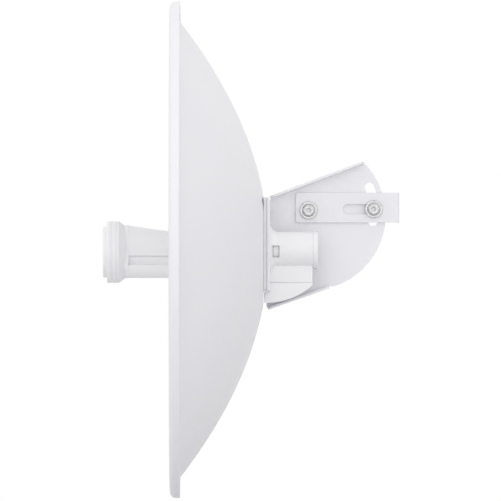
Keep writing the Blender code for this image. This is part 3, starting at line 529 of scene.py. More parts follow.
def dish_bracket():
    """Seat plate, near lip, tilting ear and its two flanges, folded from one sheet.

    The flat pattern lies in the ear's plane: u is Y, v is Z, and w goes from the ear's far face
    towards the bolt heads. The seat plate continues forward of the ear and folds towards +X.
    """
    fold_u = -PLATE_BACK - SHEET + CORNER
    bend_length = QUARTER * (BEND + SHEET / 2)

    def seat_u(x):
        return fold_u - bend_length - (x - EAR_X - CORNER)

    lip_bend = 0.0004
    lip_x = PLATE_NEAR_X - 0.0004 - lip_bend - SHEET
    lip_u = seat_u(lip_x)
    lip_end = lip_u - QUARTER * (lip_bend + SHEET / 2) - 0.0013
    # the flanges' outer faces, as lines in the side view, each with its direction and way out
    top_a, top_b = Vector((-0.0814, 0.010852)), Vector((0.019148, 0.048547))
    low_a, low_b = Vector((-0.0799, -0.10707)), Vector((-0.01575, -0.08467))
    top_way, low_way = (top_b - top_a).normalized(), (low_b - low_a).normalized()
    top_out, low_out = Vector((-top_way.y, top_way.x)), Vector((low_way.y, -low_way.x))
    reach = bend_length + 0.0435 - EAR_X - 2 * CORNER  # how far a flange goes beyond its line
    front, top_front = -PLATE_BACK - SHEET + 0.0006, fold_u + 0.0004

    def beside(line, way, out):
        """Gives the point beyond a flange's line whose foot on that line is at u."""
        return lambda u, beyond: tuple(line + way * ((u - line.x) / way.x) + out * beyond)

    def flap(edge, start, end):
        """A flange's two free corners, cut off and then rounded, from one value of u to another."""
        cut = copysign(0.003, end - start)
        places = ((start, reach - 0.003), (start + cut, reach), (end - cut, reach), (end, reach - 0.003))
        return [(edge(*place), 0.002) for place in places]

    top, low = beside(top_a, top_way, top_out), beside(low_a, low_way, low_out)
    y, z, radius = -0.0355, -0.0079, 0.0787  # the arc of the ear's rear edge
    rear = arc((y, z), radius, atan2(0.0482 - z, 0.0198 - y) - 0.012, radians(-90 + 19.1), 60)
    corners = [  # each with its rounding
        ((lip_u, PLATE_LOW_Z + 0.0015), 0.0), ((lip_end, PLATE_LOW_Z + 0.0015), 0.0006),
        ((lip_end, PLATE_TOP_Z - 0.0015), 0.0006), ((lip_u, PLATE_TOP_Z - 0.0015), 0.0),
        ((lip_u + 0.0015, PLATE_TOP_Z), 0.0008),
        ((fold_u - 0.0011, PLATE_TOP_Z), 0.0005), ((fold_u - 0.0011, 0.0079), 0.0006),
        (top(top_front, -0.0042), 0.0006), *flap(top, top_front, top_b.x), (top(top_b.x, -0.0010), 0.0008),
        *((point, 0.0) for point in rear),
        ((low_b.x + 0.0012, low_b.y + 0.0022), 0.0005), (low(low_b.x - 0.0004, -0.0020), 0.0008),
        *flap(low, low_b.x, low_a.x), (low(low_a.x, -0.0022), 0.0006), ((front, low_a.y + 0.0034), 0.0008),
        ((front, PLATE_LOW_Z - 0.0016), 0.0008), ((fold_u + 0.0012, PLATE_LOW_Z - 0.0016), 0.0007),
        ((fold_u + 0.0012, PLATE_LOW_Z - 0.0001), 0.0007), ((fold_u - 0.0016, PLATE_LOW_Z), 0.0),
        ((lip_u + 0.0015, PLATE_LOW_Z), 0.0008),
    ]
    outline = soften(*zip(*corners), closed=True)
    slot_half = 0.00495
    slot_ends = radians(-9.8), radians(20.7)
    slot = arc_slot(PIVOT, dist(PIVOT, TILT_BOLT), *slot_ends, slot_half)
    holes = [circle(PIVOT, BOLT_HOLE, 40), slot, circle((seat_u(AXIS_X), AXIS_Z), HUB_HOLE)]
    holes += [circle((seat_u(x), z), NUT_HOLE, 32) for x, z in DISH_BOLTS]

    def flange(line, way, out, first, last):
        """The fold beyond a flange's line, of what lies between two values of u along it."""
        start, end, slack = (first - line.x) / way.x, (last - line.x) / way.x, 0.0002

        def chosen(rest):
            along = (rest[:, :2] - np.array(line)) @ np.array(way)
            return (along > start - slack) & (along < end + slack)

        return Fold(line - out * CORNER, out, QUARTER, BEND, where=chosen)

    folds = [
        Fold((lip_u, 0), (-1, 0), QUARTER, lip_bend),
        flange(top_a, top_way, top_out, top_front, top_b.x),
        flange(low_a, low_way, low_out, low_a.x, low_b.x),
        Fold((fold_u, 0), (-1, 0), QUARTER, BEND, where=lambda rest: rest[:, 1] > PLATE_LOW_Z - 0.0004),
    ]
    return stand_for(folded([outline, *holes], folds, upright(EAR_X)), "dish_bracket")


def dish_gasket():
    """The pad pressed between the dish's seat and the plate, with a bead along its near edge."""
    low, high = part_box("dish_gasket")
    front, back, corner = low.y - 0.00025, high.y + 0.00025, 0.004
    outline = soften(rectangle((low.x, high.x), (low.z, high.z)), corner, closed=True)
    outlines = [outline, circle(AXIS, HUB_HOLE)]
    outlines += [circle(at, 0.0034, 32) for at in DISH_BOLTS]
    pad = sheet_mesh(outlines, back - front, to_world=across(front))
    bead_low = (high.x - 0.0012, front + 0.0001, low.z + corner)
    bead = boxed(bead_low, (high.x + 0.0003, back + 0.0004, high.z - corner), 0.0003)
    return stand_for(combine(pad, bead, operation="UNION"), "dish_gasket")


# -------- pole bracket and clamp
STRAP_HALF = 0.0157
NEAR_OUT, FAR_OUT = 0.0363, 0.0282  # outer faces of the pole bracket's two arms
VEE_TIP, VEE_ROOT = 0.009, 0.02136
FLANGE_FACE = STRAP_HALF - 0.0004
FLANGE_BEND = 0.0009
FLANGE_FOLD = FLANGE_FACE - SHEET - FLANGE_BEND  # height at which the flanges' bend begins
FLANGE_LENGTH = QUARTER * (FLANGE_BEND + SHEET / 2)
FLANGE_START = FLANGE_FOLD + FLANGE_LENGTH + 0.004
FLANGE_FRONT, FLANGE_REAR, PLATE_END = 0.038, -0.045, -0.047  # in Y


def toothed_edge(place):
    """The flange's free edge, with its toothed vee; place gives the pattern's u for a value of Y."""
    half_angle = radians(55)
    spread = (VEE_ROOT - VEE_TIP) * tan(half_angle)
    teeth, depth, end_round, tooth_round = 4, 0.0011, 0.0025, 0.0002
    flank = []
    for i in range(teeth):
        along, half = i / teeth, 0.5 / teeth
        tip = (spread * (1 - along), VEE_TIP + (VEE_ROOT - VEE_TIP) * along)
        dip_x = VEE_TIP + (VEE_ROOT - VEE_TIP) * (along + half) + depth * sin(half_angle)
        flank += [tip, (spread * (1 - along - half) + depth * cos(half_angle), dip_x)]
    edge = [(FLANGE_FRONT, VEE_TIP), *flank, (0, VEE_ROOT)]
    edge += [(-y, x) for y, x in reversed(flank)] + [(FLANGE_REAR, VEE_TIP)]
    points = [(place(y), FLANGE_FOLD + FLANGE_LENGTH + FAR_OUT - FLANGE_BEND - x) for y, x in edge]
    return soften(points, [end_round] + [tooth_round] * (len(edge) - 2) + [end_round], 3)


def rear_corner(place, relief):
    """From the flange's rear end to the plate's, past the relief cut between them."""
    return soften([
        (place(FLANGE_REAR), FLANGE_START), (place(FLANGE_REAR), FLANGE_FOLD + 0.0004),
        (place(PLATE_END), FLANGE_FOLD - relief), (place(PLATE_END), 0),
    ], [0, 0.0008, 0.0015, 0])


def flange_folds(up=1, where=None):
    return [Fold((0, way * FLANGE_FOLD), (0, way), QUARTER, FLANGE_BEND, up, where) for way in (1, -1)]


def pole_bracket():
    """The hairpin strap with its slot, and the toothed flanges on the arm beside the pole.

    The flat pattern lies in the near arm's plane: u is Y on the near arm and runs on round the
    bend, v is Z, and w goes from the outer face inwards.
    """
    inner = (NEAR_OUT - FAR_OUT) / 2 - SHEET
    bend_u = 0.0575 - inner - SHEET
    length = HALF * (inner + SHEET / 2)
    end_y, notch_y, front_round = -0.0509, 0.0392, 0.003
    slot_start, slot_half = 0.0035, 0.0052

    def far_u(y):
        return bend_u + length + (bend_u - y)

    # the upper edge, from the near arm's front round to the far arm's end
    half = arc((end_y + front_round, STRAP_HALF - front_round), front_round, HALF, QUARTER, 8)
    half += [(bend_u, STRAP_HALF), (far_u(notch_y + 0.001), STRAP_HALF)]
    half += soften([
        (far_u(notch_y), STRAP_HALF), (far_u(notch_y), FLANGE_FOLD - 0.0012),
        (far_u(FLANGE_FRONT), FLANGE_FOLD - 0.0012), (far_u(FLANGE_FRONT), FLANGE_START),
    ], [0, 0.00055, 0.00055, 0])
    half += toothed_edge(far_u) + rear_corner(far_u, 0.0012)
    outline = half + [(u, -v) for u, v in reversed(half[:-1])]
    slot = stadium((slot_start, TILT_BOLT[1]), TILT_BOLT, slot_half)
    holes = [circle(PIVOT, BOLT_HOLE, 40), slot]
    holes += [circle((far_u(y), z), BOLT_HOLE, 40) for y, z in (PIVOT, TILT_BOLT)]
    first, last = far_u(FLANGE_FRONT + 0.0006), far_u(FLANGE_REAR - 0.0005)
    folds = flange_folds(-1, lambda rest: (rest[:, 0] > first) & (rest[:, 0] < last))
    folds.append(Fold((bend_u, 0), (1, 0), HALF, inner, steps=20))
    return stand_for(folded([outline, *holes], folds, upright(NEAR_OUT, -1)), "pole_bracket")


def clamp_jaw():
    """The loose jaw: a plate with two toothed flanges towards the pole."""
    front_y = 0.040
    half = soften([
        (front_y, 0), (front_y, FLANGE_FOLD - 0.0010), (FLANGE_FRONT, FLANGE_FOLD + 0.0004),
        (FLANGE_FRONT, FLANGE_START),
    ], [0, 0.0015, 0.0008, 0])
    half += toothed_edge(lambda y: y) + rear_corner(lambda y: y, 0.0010)
    outline = half + [(u, -v) for u, v in reversed(half[1:-1])]
    holes = [circle(at, BOLT_HOLE, 40) for at in (PIVOT, TILT_BOLT)]
    jaw = folded([outline, *holes], flange_folds(), upright(-FAR_OUT - SHEET))
    return stand_for(jaw, "clamp_jaw")


# -------- fasteners
M8_PITCH, M8_SHANK, M8_BORE = 0.00125, 0.0039, 0.0043
HEAD_FLATS, HEAD_HEIGHT, NUT_FLATS = 0.0100, 0.0053, 0.013
RINGS_PER_THREAD, ROUND_STEPS = 7, 72
CENTRE = 0.0001  # radius of the ring that closes a turned end


def hexagonal(flats, turn, ends):
    """A shape for along_x: a hexagon whose corners are chamfered at the ends given as x values."""
    face, slope = 0.965, tan(radians(30))  # the chamfer's circle against the flats, and its slope

    def radius(angles, x, _):
        side = (angles - turn) % (HALF / 3) - HALF / 6
        inset = min(abs(x - end) for end in ends)
        return np.minimum(flats / 2 / np.cos(side), flats / 2 * face + inset / slope)

    return radius


def vee(angles, x, pitch):
    """How deep a vee thread is at x round a screw, from 0 to 1."""
    phase = (x / pitch - angles / TURN) % 1.0
    return np.clip(1.25 - 2.9 * np.abs(phase - 0.5), 0, 1)


def threaded(depth, pitch, start, end):
    """A shape for along_x: a vee thread between two x values, fading out over a millimetre at both."""
    def surface(angles, x, given):
        return given - depth * vee(angles, x, pitch) * np.clip(min(x - start, end - x) / 0.001, 0, 1)

    return surface


def bolt(node, centre, turn):
    """A flanged hexagon head with a dimple, a plain shoulder and a long thread."""
    low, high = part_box(node)
    head, tip, thread_start = high.x, low.x, 0.026
    under = head - HEAD_HEIGHT
    levels = [*np.linspace(0, 0.0010, 7), 0.0025, HEAD_HEIGHT - 0.0016]
    hexagon = [(HEAD_FLATS, head - level) for level in levels]
    dimple = [(CENTRE, head - 0.00055), (0.0016, head - 0.0004), (0.0024, head - 0.0001), (0.0028, head)]
    flange = [
        (0.0060, under + 0.0015), (0.0064, under + 0.0012), (0.0068, under + 0.0007),
        (0.0069, under + 0.0003), (0.0068, under), (M8_SHANK, under), (M8_SHANK, under - 0.0006),
    ]
    count = int((thread_start - tip) / M8_PITCH * RINGS_PER_THREAD)
    shaft = [(M8_SHANK, under - 0.003), (M8_SHANK, thread_start + 0.001)]
    shaft += [(M8_SHANK, x) for x in np.linspace(thread_start, tip + 0.0008, count)]
    shaft += [(M8_SHANK - 0.0003, tip + 0.0004), (M8_SHANK - 0.0007, tip), (CENTRE, tip)]
    thread = threaded(0.00062, M8_PITCH, tip + 0.0009, thread_start)
    rings = []
    for profile, shape in (
        (dimple, None), (hexagon, hexagonal(HEAD_FLATS, turn, (head,))), (flange, None), (shaft, thread),
    ):
        rings += along_x(profile, centre, ROUND_STEPS, shape)
    return stand_for(skin(rings), node, FINE_CREASE)


def nut(node, centre, turn):
    """A hexagon nut, chamfered on both faces, with a countersunk threaded bore."""
    low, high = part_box(node)
    start, end, sink = low.x, high.x, 0.0007
    thick = end - start
    depth = min(0.0012, thick * 0.25)
    levels = [*np.linspace(0, depth, 7), thick / 2, *(thick - np.linspace(depth, 0, 7))]
    outside = [(NUT_FLATS, start + level) for level in levels]
    count = int(thick / M8_PITCH * RINGS_PER_THREAD)
    inside = [(M8_BORE + sink, end), (M8_BORE, end - sink)]
    inside += [(M8_BORE, x) for x in np.linspace(end - 0.0008, start + 0.0008, count)]
    inside += [(M8_BORE, start + sink), (M8_BORE + sink, start)]

    def groove(angles, x, given):
        cut = 0.0004 * (min(x - start, end - x) > sink + 0.00005)
        return given + cut * vee(angles, x, M8_PITCH)

    rings = along_x(outside, centre, ROUND_STEPS, hexagonal(NUT_FLATS, turn, (start, end)))
    rings += along_x(inside, centre, ROUND_STEPS, groove)
    return stand_for(skin(rings, loop=True), node, FINE_CREASE)


def washer(node, centre, radius=0.0102):
    """A stamped washer: one face has rounded edges, the other a slight burr line."""
    low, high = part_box(node)
    corners = rectangle((M8_BORE, radius), (low.x, high.x))
    profile = soften(corners, [0.0002, 0.0002, 0.00045, 0.0003], 4, True)
    return stand_for(skin(along_x(profile, centre, 96), loop=True), node)


def dish_bolt(number, centre):
    """A pan head with a hexagon socket, against the dish, and its shank through to the nut."""
    node = f"dish_bolt_{number}"
    low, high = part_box(node)
    front, seat, tail = low.y, low.y + 0.0030, high.y
    head, shank, pitch, socket_size, steps = 0.0060, 0.0028, 0.0010, 0.0024, 60
    dome = [(head, seat), (head, seat - 0.0004)]
    for a in np.linspace(0.12, 1.22, 9):
        dome.append((head * cos(a) ** 0.55, max(seat - 0.0004 - 0.0026 * sin(a), front)))
    dome.append((min(dome[-1][0], 0.0027), front))

    def socket(angles, y, given):
        side = (angles - 0.3 * number) % (HALF / 3) - HALF / 6
        return given / np.cos(side) if given < socket_size else given

    recess = [(0.0020, front + 0.0003), (0.0020, front + 0.0017), (CENTRE, front + 0.0023)]
    shaft = [(CENTRE, tail), (0.0023, tail), (shank, tail - 0.0005)]
    shaft += [(shank, y) for y in np.linspace(tail - 0.0006, seat + 0.002, 60)] + [(shank, seat)]
    thread = threaded(0.0004, pitch, seat + 0.0021, tail - 0.0005)
    rings = along_y(shaft, centre, steps, thread) + along_y(dome + recess, centre, steps, socket)
    return stand_for(skin(rings), node, FINE_CREASE)


def press_nut(number, centre):
    """A flat press nut: its body in the plate, and a thin collar behind."""
    node = f"dish_nut_{number}"
    low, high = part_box(node)
    front, back, seat = -low.y, -high.y, PLATE_BACK - 0.0003
    collar, body, bore = (high.x - low.x) / 2, NUT_HOLE - 0.0002, 0.0031
    points = [
        (body, front), (body, seat), (collar, seat), (collar, back), (bore + 0.0005, back),
        (bore, back + 0.0005), (bore, front - 0.0003), (bore + 0.0003, front),
    ]
    radii = [0.0003, 0.0001, 0.0002, 0.0004, 0, 0, 0, 0]
    return stand_for(turned(soften(points, radii, 4, True), centre, steps=64, loop=True), node)


def fasteners():
    for name, centre, turn in (("pivot", PIVOT, 0.35), ("elevation", TILT_BOLT, 0.15)):
        bolt(f"{name}_bolt", centre, turn)
        washer(f"{name}_washer", centre, 0.0092)
        nut(f"{name}_lock_nut", centre, turn)
    for name, centre in (("front", PIVOT), ("rear", TILT_BOLT)):
        washer(f"clamp_washer_{name}", centre)
        nut(f"clamp_nut_{name}", centre, 0.2)
    for number, centre in enumerate(DISH_BOLTS, 1):
        dish_bolt(number, centre)
        press_nut(number, centre)


# -------- rear housing
HOUSING_BORE, HOUSING_RADIUS, HOUSING_FOOT = 0.0170, 0.0190, 0.0249
CHUTE_HALF, CHUTE_WALL, CHUTE_SPLIT, CHUTE_REAR = 0.009, 0.0018, -0.0780, -0.0336
CHUTE_INSIDE = CHUTE_HALF - CHUTE_WALL
WINDOW = (-0.0753, -0.0684, -0.0079, 0.0042)  # Y range, and Z range about the axis


def rear_housing():
    """The tube with its flared foot, the cable chute below it, and the two tab windows."""
    low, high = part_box("rear_housing")
    front, rear = -low.y, -high.y - 0.0002
    flare = arc((HOUSING_FOOT + 0.0012, front - 0.0096), 0.0072, radians(100), HALF, 16)
    flare = [point for point in flare if point[0] < HOUSING_FOOT - 0.0004]
    points = [(HOUSING_BORE, front), (HOUSING_FOOT, front), (HOUSING_FOOT, front - 0.0016), *flare]
    points += [(HOUSING_RADIUS - 0.0001, rear), (HOUSING_BORE, rear)]
    radii = [0.0003, 0.0004, 0.0005] + [0.0] * len(flare) + [0.0003, 0.0003]
    tube = turned(soften(points, radii, closed=True), AXIS, steps=160, loop=True)
    outside = (low.y + 0.0002, CHUTE_REAR), (CHUTE_SPLIT, AXIS_Z - 0.0150)
    combine(tube, middle_box(CHUTE_HALF, *outside, 0.0012), operation="UNION")
    bore = skin(along_y([(HOUSING_BORE, low.y - 0.01), (HOUSING_BORE, 0)], AXIS, 160))
    room = (low.y + 0.003, CHUTE_REAR - CHUTE_WALL), (CHUTE_SPLIT - 0.01, AXIS_Z - 0.010)
    hollow = middle_box(CHUTE_INSIDE, *room, 0.0006)
    y0, y1, z0, z1 = WINDOW
    frames = []
    for x, wider in ((-0.03, 0.0030), (-0.0172, 0.0), (0.0172, 0.0), (0.03, 0.0030)):  # bevelled outwards
        corners = rectangle((y0 - wider, y1 + wider), (z0 - wider, z1 + wider))
        frames.append([(AXIS_X + x, y, AXIS_Z + z) for y, z in soften(corners, 0.0008, closed=True)])
    return stand_for(combine(tube, bore, hollow, skin(frames)), "rear_housing")


def housing_end_cap():
    """The cap with its plug inside the tube, and the lug below it with a pocket in its near side."""
    low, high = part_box("housing_end_cap")
    rear, plug, tube = -high.y, 0.0149, 0.0167
    points = [
        (CENTRE, rear + 0.0025), (plug, rear + 0.0025), (plug, rear + 0.0076), (tube, rear + 0.0076),
        (tube, rear + 0.0051), (HOUSING_RADIUS, rear + 0.0051), (HOUSING_RADIUS, rear), (0.0150, rear),
        (0.0146, rear + 0.0003), (CENTRE, rear + 0.0003),
    ]
    radii = [0, 0.0004, 0.0003, 0.0005, 0.0003, 0.0003, 0.0013, 0.0002, 0.0002, 0]
    cap = turned(soften(points, radii, 6), AXIS, steps=160)
    half, front, back, wall, deep = 0.0030, -0.0318, -0.0284, 0.0006, 0.0022
    lug = middle_box(half, (front, back), (low.z, AXIS_Z - 0.0180), 0.0005, "X")
    combine(cap, lug, operation="UNION")
    pocket = boxed(
        (AXIS_X + half - deep, front + wall, low.z + wall),
        (AXIS_X + half + 0.01, back - wall, AXIS_Z - HOUSING_RADIUS - 0.0001), 0.0003, "X",
    )
    return stand_for(combine(cap, pocket), "housing_end_cap")


def cable_cover():
    """The chute's sliding lower part, with a curved floor and the cable's outlet."""
    centre, radius = (-0.0823, -0.0262), 0.0737
    low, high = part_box("cable_cover")
    front, toe, top, edge = -PLATE_BACK + 0.0003, low.y, high.z, PLATE_LOW_Z - 0.0003
    floor = arc(centre, radius, asin((-0.0816 - centre[1]) / radius), -QUARTER, 40)
    outline = [(front, top), (CHUTE_REAR, top), *floor, (toe, floor[-1][1]), (toe, edge), (front, edge)]
    radii = [0, 0, 0.0015] + [0.0] * (len(floor) - 1) + [0.0009, 0.0005, 0.0003]
    outline = soften(outline, radii, closed=True)
    cover = sheet_mesh([outline], 2 * CHUTE_HALF, 0.0007, 2, upright(AXIS_X - CHUTE_HALF))
    rear, reach = CHUTE_REAR - CHUTE_WALL, radius - CHUTE_WALL
    start, end = (-acos((y - centre[0]) / reach) for y in (rear, front + 0.003))
    hollow = arc(centre, reach, start, end, 30) + [(front + 0.003, top + 0.01), (rear, top + 0.01)]
    room = skin([[(AXIS_X + x, y, z) for y, z in hollow] for x in (-CHUTE_INSIDE, CHUTE_INSIDE)])
    outlet = middle_box(0.0045, (front + 0.0038, front + 0.0138), (-0.110, -0.090), 0.0044)
    return stand_for(outward(combine(cover, room, outlet)), "cable_cover")


def release_tab(side, name):
    """A sprung tab: its face follows the tail's round wall and has four grip ribs."""
    low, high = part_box(f"release_tab_{name}")
    radius, inner, rib_height, steps = 0.0168, 0.0138, 0.00045, 48
    lows, highs = low.z - AXIS_Z, high.z - AXIS_Z
    ys = [low.y, low.y + 0.0004, *np.linspace(low.y + 0.0008, high.y - 0.0008, 5), high.y - 0.0004, high.y]
    rings = []
    for y, round_off in zip(ys, (0.0004, 0.0001, 0, 0, 0, 0, 0, 0.0001, 0.0004)):
        face = []
        for k, h in enumerate(np.linspace(lows, highs, steps + 1)):
            wave = cos(k / steps * 5 * TURN) if 0.15 < k / steps < 0.85 else 0.0
            rib = rib_height * max(0.0, wave) ** 0.5
            edge = 0.0003 * max(0.0, 1 - min(k, steps - k) / 2)
            face.append((sqrt(radius**2 - h**2) - rib_height + rib - edge - round_off, h))
        outline = [(inner, lows), *face, (inner, highs)]
        rings.append([(AXIS_X + side * a, y, AXIS_Z + b) for a, b in outline])
    return stand_for(skin(rings), f"release_tab_{name}")


def release_tabs():
    release_tab(1, "near")
    release_tab(-1, "far")


# -------- feed
FRONT_SIZE, REAR_SIZE = (0.0245, 0.0259), (0.0190, 0.0188)  # half width and height above the axis
FRONT_CORNER, REAR_CORNER, DEPTH = 0.0135, 0.0080, 0.0296
SHELL_WAIST, SHELL_SEAM, SHELL_STEP, SHELL_WALL = -0.182, -0.0065, -0.0160, 0.0018
ROUND_END = 0.0003  # how much smaller a shell's end rows are
DRUM_STEPS = 192


def shell_rows(name):
    """The rows (y, half width, height, corner) along a shell, closer together at its ends."""
    low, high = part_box(name)
    ys = [low.y, low.y + 0.0004, low.y + 0.002, *np.linspace(low.y + 0.006, SHELL_WAIST, 10)[:-1]]
    ys += [SHELL_WAIST - 0.0012, SHELL_WAIST, SHELL_WAIST + 0.0012, -0.160, -0.130, -0.105]
    rows = []
    for y in [*ys, high.y - 0.002, high.y - 0.0004, high.y]:
        share = min(1.0, max(0.0, (y - low.y) / (SHELL_WAIST - low.y)))
        ends = zip((*FRONT_SIZE, FRONT_CORNER), (*REAR_SIZE, REAR_CORNER))
        width, height, corner = (a + (b - a) * share for a, b in ends)
        less = ROUND_END * (y in (low.y, high.y))
        rows.append((y, width - less, height - less, corner))
    return rows


def rounded_top(width, height, steps=48):
    return [(width * cos(a), height * sin(a)) for a in np.linspace(0, HALF, steps + 1)]


def feed_outline(width, height, depth, corner, steps):
    """The feed seen from the front: half an ellipse over a tray; steps of the top, corners and floor."""
    side, floor = width - corner, -depth + corner
    points = rounded_top(width, height, steps[0]) + arc((-side, floor), corner, HALF, 3 * QUARTER, steps[1])
    points += [(x, -depth) for x in np.linspace(-side, side, steps[2] + 1)[1:-1]]
    return points + arc((side, floor), corner, -QUARTER, 0, steps[1])


def feed_shell_upper():
    rings = []
    for y, width, height, _ in shell_rows("feed_shell_upper"):
        inner = rounded_top(width - SHELL_WALL, height - SHELL_WALL)[::-1]
        edge = [(width, SHELL_SEAM + 0.0003), (width - 0.0003, SHELL_SEAM), (width - SHELL_WALL, SHELL_SEAM)]
        left = [(-x, z) for x, z in edge]
        section = [edge[1], edge[0], *rounded_top(width, height), *left, *inner, edge[2]]
        rings.append([(AXIS_X + x, y, AXIS_Z + z) for x, z in section])
    return stand_for(skin(rings), "feed_shell_upper")


def feed_shell_lower():
    """The tray: its sides step in under the upper shell's edge, lean in below it and step out again."""
    inset, top, tongue, lean = 0.0015, SHELL_SEAM - 0.0003, 0.0020, 0.0018
    rings = []
    for y, width, _, corner in shell_rows("feed_shell_lower"):
        centre = (width - corner, -DEPTH + corner)

        def floor(radius, drop):
            """The quarter round from the side, starting so far below the step, to the floor."""
            start = asin(max(0.0, centre[1] - SHELL_STEP + drop) / radius)
            return arc(centre, radius, -start, -QUARTER, 20)

        edge, thick = width - inset, width - inset - SHELL_WALL
        half = soften([
            (edge, top), (edge - 0.0006, -0.0110), (edge - 0.0020, SHELL_STEP + 0.0009),
            (width - 0.0002, SHELL_STEP - 0.0001), (width, SHELL_STEP - 0.0010),
        ], [0, 0.0006, 0.0003, 0.0004, 0], 3) + floor(corner, 0.0010)
        inner = [(thick + 0.0007, top), (thick + 0.0007, top + tongue), (thick, top + tongue)]
        inner += [(thick - lean, SHELL_STEP + 0.0005), (width - SHELL_WALL, SHELL_STEP - 0.0022)]
        inner += floor(corner - SHELL_WALL, 0.0023)
        mirrored = [(-x, z) for x, z in reversed(half)] + [(-x, z) for x, z in inner]
        rings.append([(AXIS_X + x, y, AXIS_Z + z) for x, z in half + mirrored + inner[::-1]])
    return stand_for(skin(rings), "feed_shell_lower")


def feed_cap():
    """The drum at the feed's tip, with a raised front, two grooves and a conical back."""
    low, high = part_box("feed_cap")
    centre = ((low.x + high.x) / 2, (low.z + high.z) / 2)
    front, drum = -low.y, (high.x - low.x) / 2
    inner, raised, cone, seat = drum - 0.0022, 0.0267, 0.0244, 0.0246
    corners = [  # each with its rounding
        ((CENTRE, front - 0.0004), 0), ((0.0200, front - 0.0004), 0.0004), ((0.0208, front), 0.0004),
        ((raised, front), 0.0014), ((raised, front - 0.0042), 0.0006), ((drum, front - 0.0042), 0.0013),
    ]
    for groove in (0.0086, 0.0138):
        for depth, back in ((0, 0), (0.0006, 0.0002), (0.0006, 0.0011), (0, 0.0013)):
            corners.append(((drum - depth, front - groove - back), 0.0001))
    corners += [
        ((drum, front - 0.0166), 0.0012), ((0.0266, front - 0.0244), 0.0004),
        ((cone, front - 0.0244), 0.0003), ((inner - 0.0004, front - 0.0170), 0),
        ((inner, front - 0.0150), 0), ((inner, front - 0.0066), 0.0004), ((seat, front - 0.0063), 0.0003),
        ((seat, front - 0.0022), 0.0004), ((CENTRE, front - 0.0022), 0),
    ]
    cap = turned(soften(*zip(*corners)), centre, DRUM_STEPS)
    return stand_for(combine(cap, cap_collar(centre), operation="UNION"), "feed_cap")


def cap_collar(centre):
    """The moulded neck that runs from the drum's cone to the outline of the two shells."""
    outline = feed_outline(*FRONT_SIZE, DEPTH, FRONT_CORNER, (96, 24, 20))
    points = np.array(outline) + (AXIS_X - centre[0], AXIS_Z - centre[1])
    around = np.arctan2(points[:, 1], points[:, 0]) % TURN
    order = np.argsort(around)
    angles = np.arange(DRUM_STEPS) * TURN / DRUM_STEPS
    shell = np.interp(angles, around[order], np.hypot(*points.T)[order], period=TURN) + 0.0002
    start, end, cone, slope, bore = -0.2318, -0.2263, 0.02885, 0.744, 0.0232  # the cone at the start
    profile = []
    for share in np.linspace(0, 1, 9):
        y = start + (end - start) * share
        eased = share**2 * (3 - 2 * share)
        radius = cone - slope * (y - start) * (1 - 0.35 * share)
        profile.append((radius * (1 - eased) + shell * eased, y))
    return skin(along_y([*profile, (bore, end), (bore, start)], centre, DRUM_STEPS), loop=True)


def feed_tail():
    """The tube that plugs into the housing, with openings for the socket, the button and the tabs."""
    low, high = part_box("feed_tail")
    front, rear, wall, radius, ease = -low.y, -high.y, 0.0018, 0.0164, 0.0002
    inner, button, button_y = radius - wall, 0.0018, -0.0455
    points = [
        (CENTRE, rear + wall), (inner, rear + wall), (inner, front), (radius, front), (radius, rear),
        (CENTRE, rear),
    ]
    tail = turned(soften(points, [0, 0.0006, 0.0003, 0.0003, 0.0010, 0]), AXIS)
    socket = middle_box(0.0083, (-0.0653, -0.0511), (AXIS_Z - 0.03, AXIS_Z - 0.008), 0.0005)
    ring = circle((AXIS_X, button_y), button, 32)
    hole = skin([[(*point, AXIS_Z - drop) for point in ring] for drop in (0.03, 0.008)])
    y0, y1, z0, z1 = WINDOW
    zs = (AXIS_Z + z0 + ease, AXIS_Z + z1 - ease)
    tabs = middle_box(0.03, (y0 + ease, y1 - ease), zs, 0.0005, "X")
    return stand_for(combine(tail, socket, hole, tabs), "feed_tail")


def shoulder_seal():
    """The rubber pad behind the shells."""
    low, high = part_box("shoulder_seal")
    width, height, depth = (size - 0.0004 for size in (*REAR_SIZE, DEPTH))
    outline = feed_outline(width, height, depth, REAR_CORNER, (48, 14, 1))
    outlines = [[(AXIS_X + a, AXIS_Z + b) for a, b in outline], circle(AXIS, 0.0167, 96)]
    pad = sheet_mesh(outlines, high.y - low.y, 0.0004, to_world=across(low.y))
    return stand_for(pad, "shoulder_seal")


# -------- stage, light and camera
FLOOR_DROP, FLOOR_MIDDLE_Y, FLOOR_RADII = 0.06, -0.1, (0.3, 0.7, 1.1, 1.5, 1.9)
FADE_START, FADE_END = 0.12, 0.8  # shares of the floor's radius


def stage():
    """A pale floor well below the dish. It fades into the surroundings, and from below it isn't seen."""
    middle, floor_z, steps = (AXIS_X, FLOOR_MIDDLE_Y), CAD_LOW.z - FLOOR_DROP, 96
    points = [(*middle, floor_z)]
    for radius in FLOOR_RADII:
        points += [(*point, floor_z) for point in circle(middle, radius, steps)]
    faces = [(0, 1 + i, 1 + (i + 1) % steps) for i in range(steps)]
    for ring in range(len(FLOOR_RADII) - 1):
        a, b = 1 + ring * steps, 1 + (ring + 1) * steps
        faces += [(a + i, b + i, b + (i + 1) % steps, a + (i + 1) % steps) for i in range(steps)]
    floor = new_object("floor", points, faces)
    floor.data.materials.append(floor_material((*middle, floor_z), FLOOR_RADII[-1]))


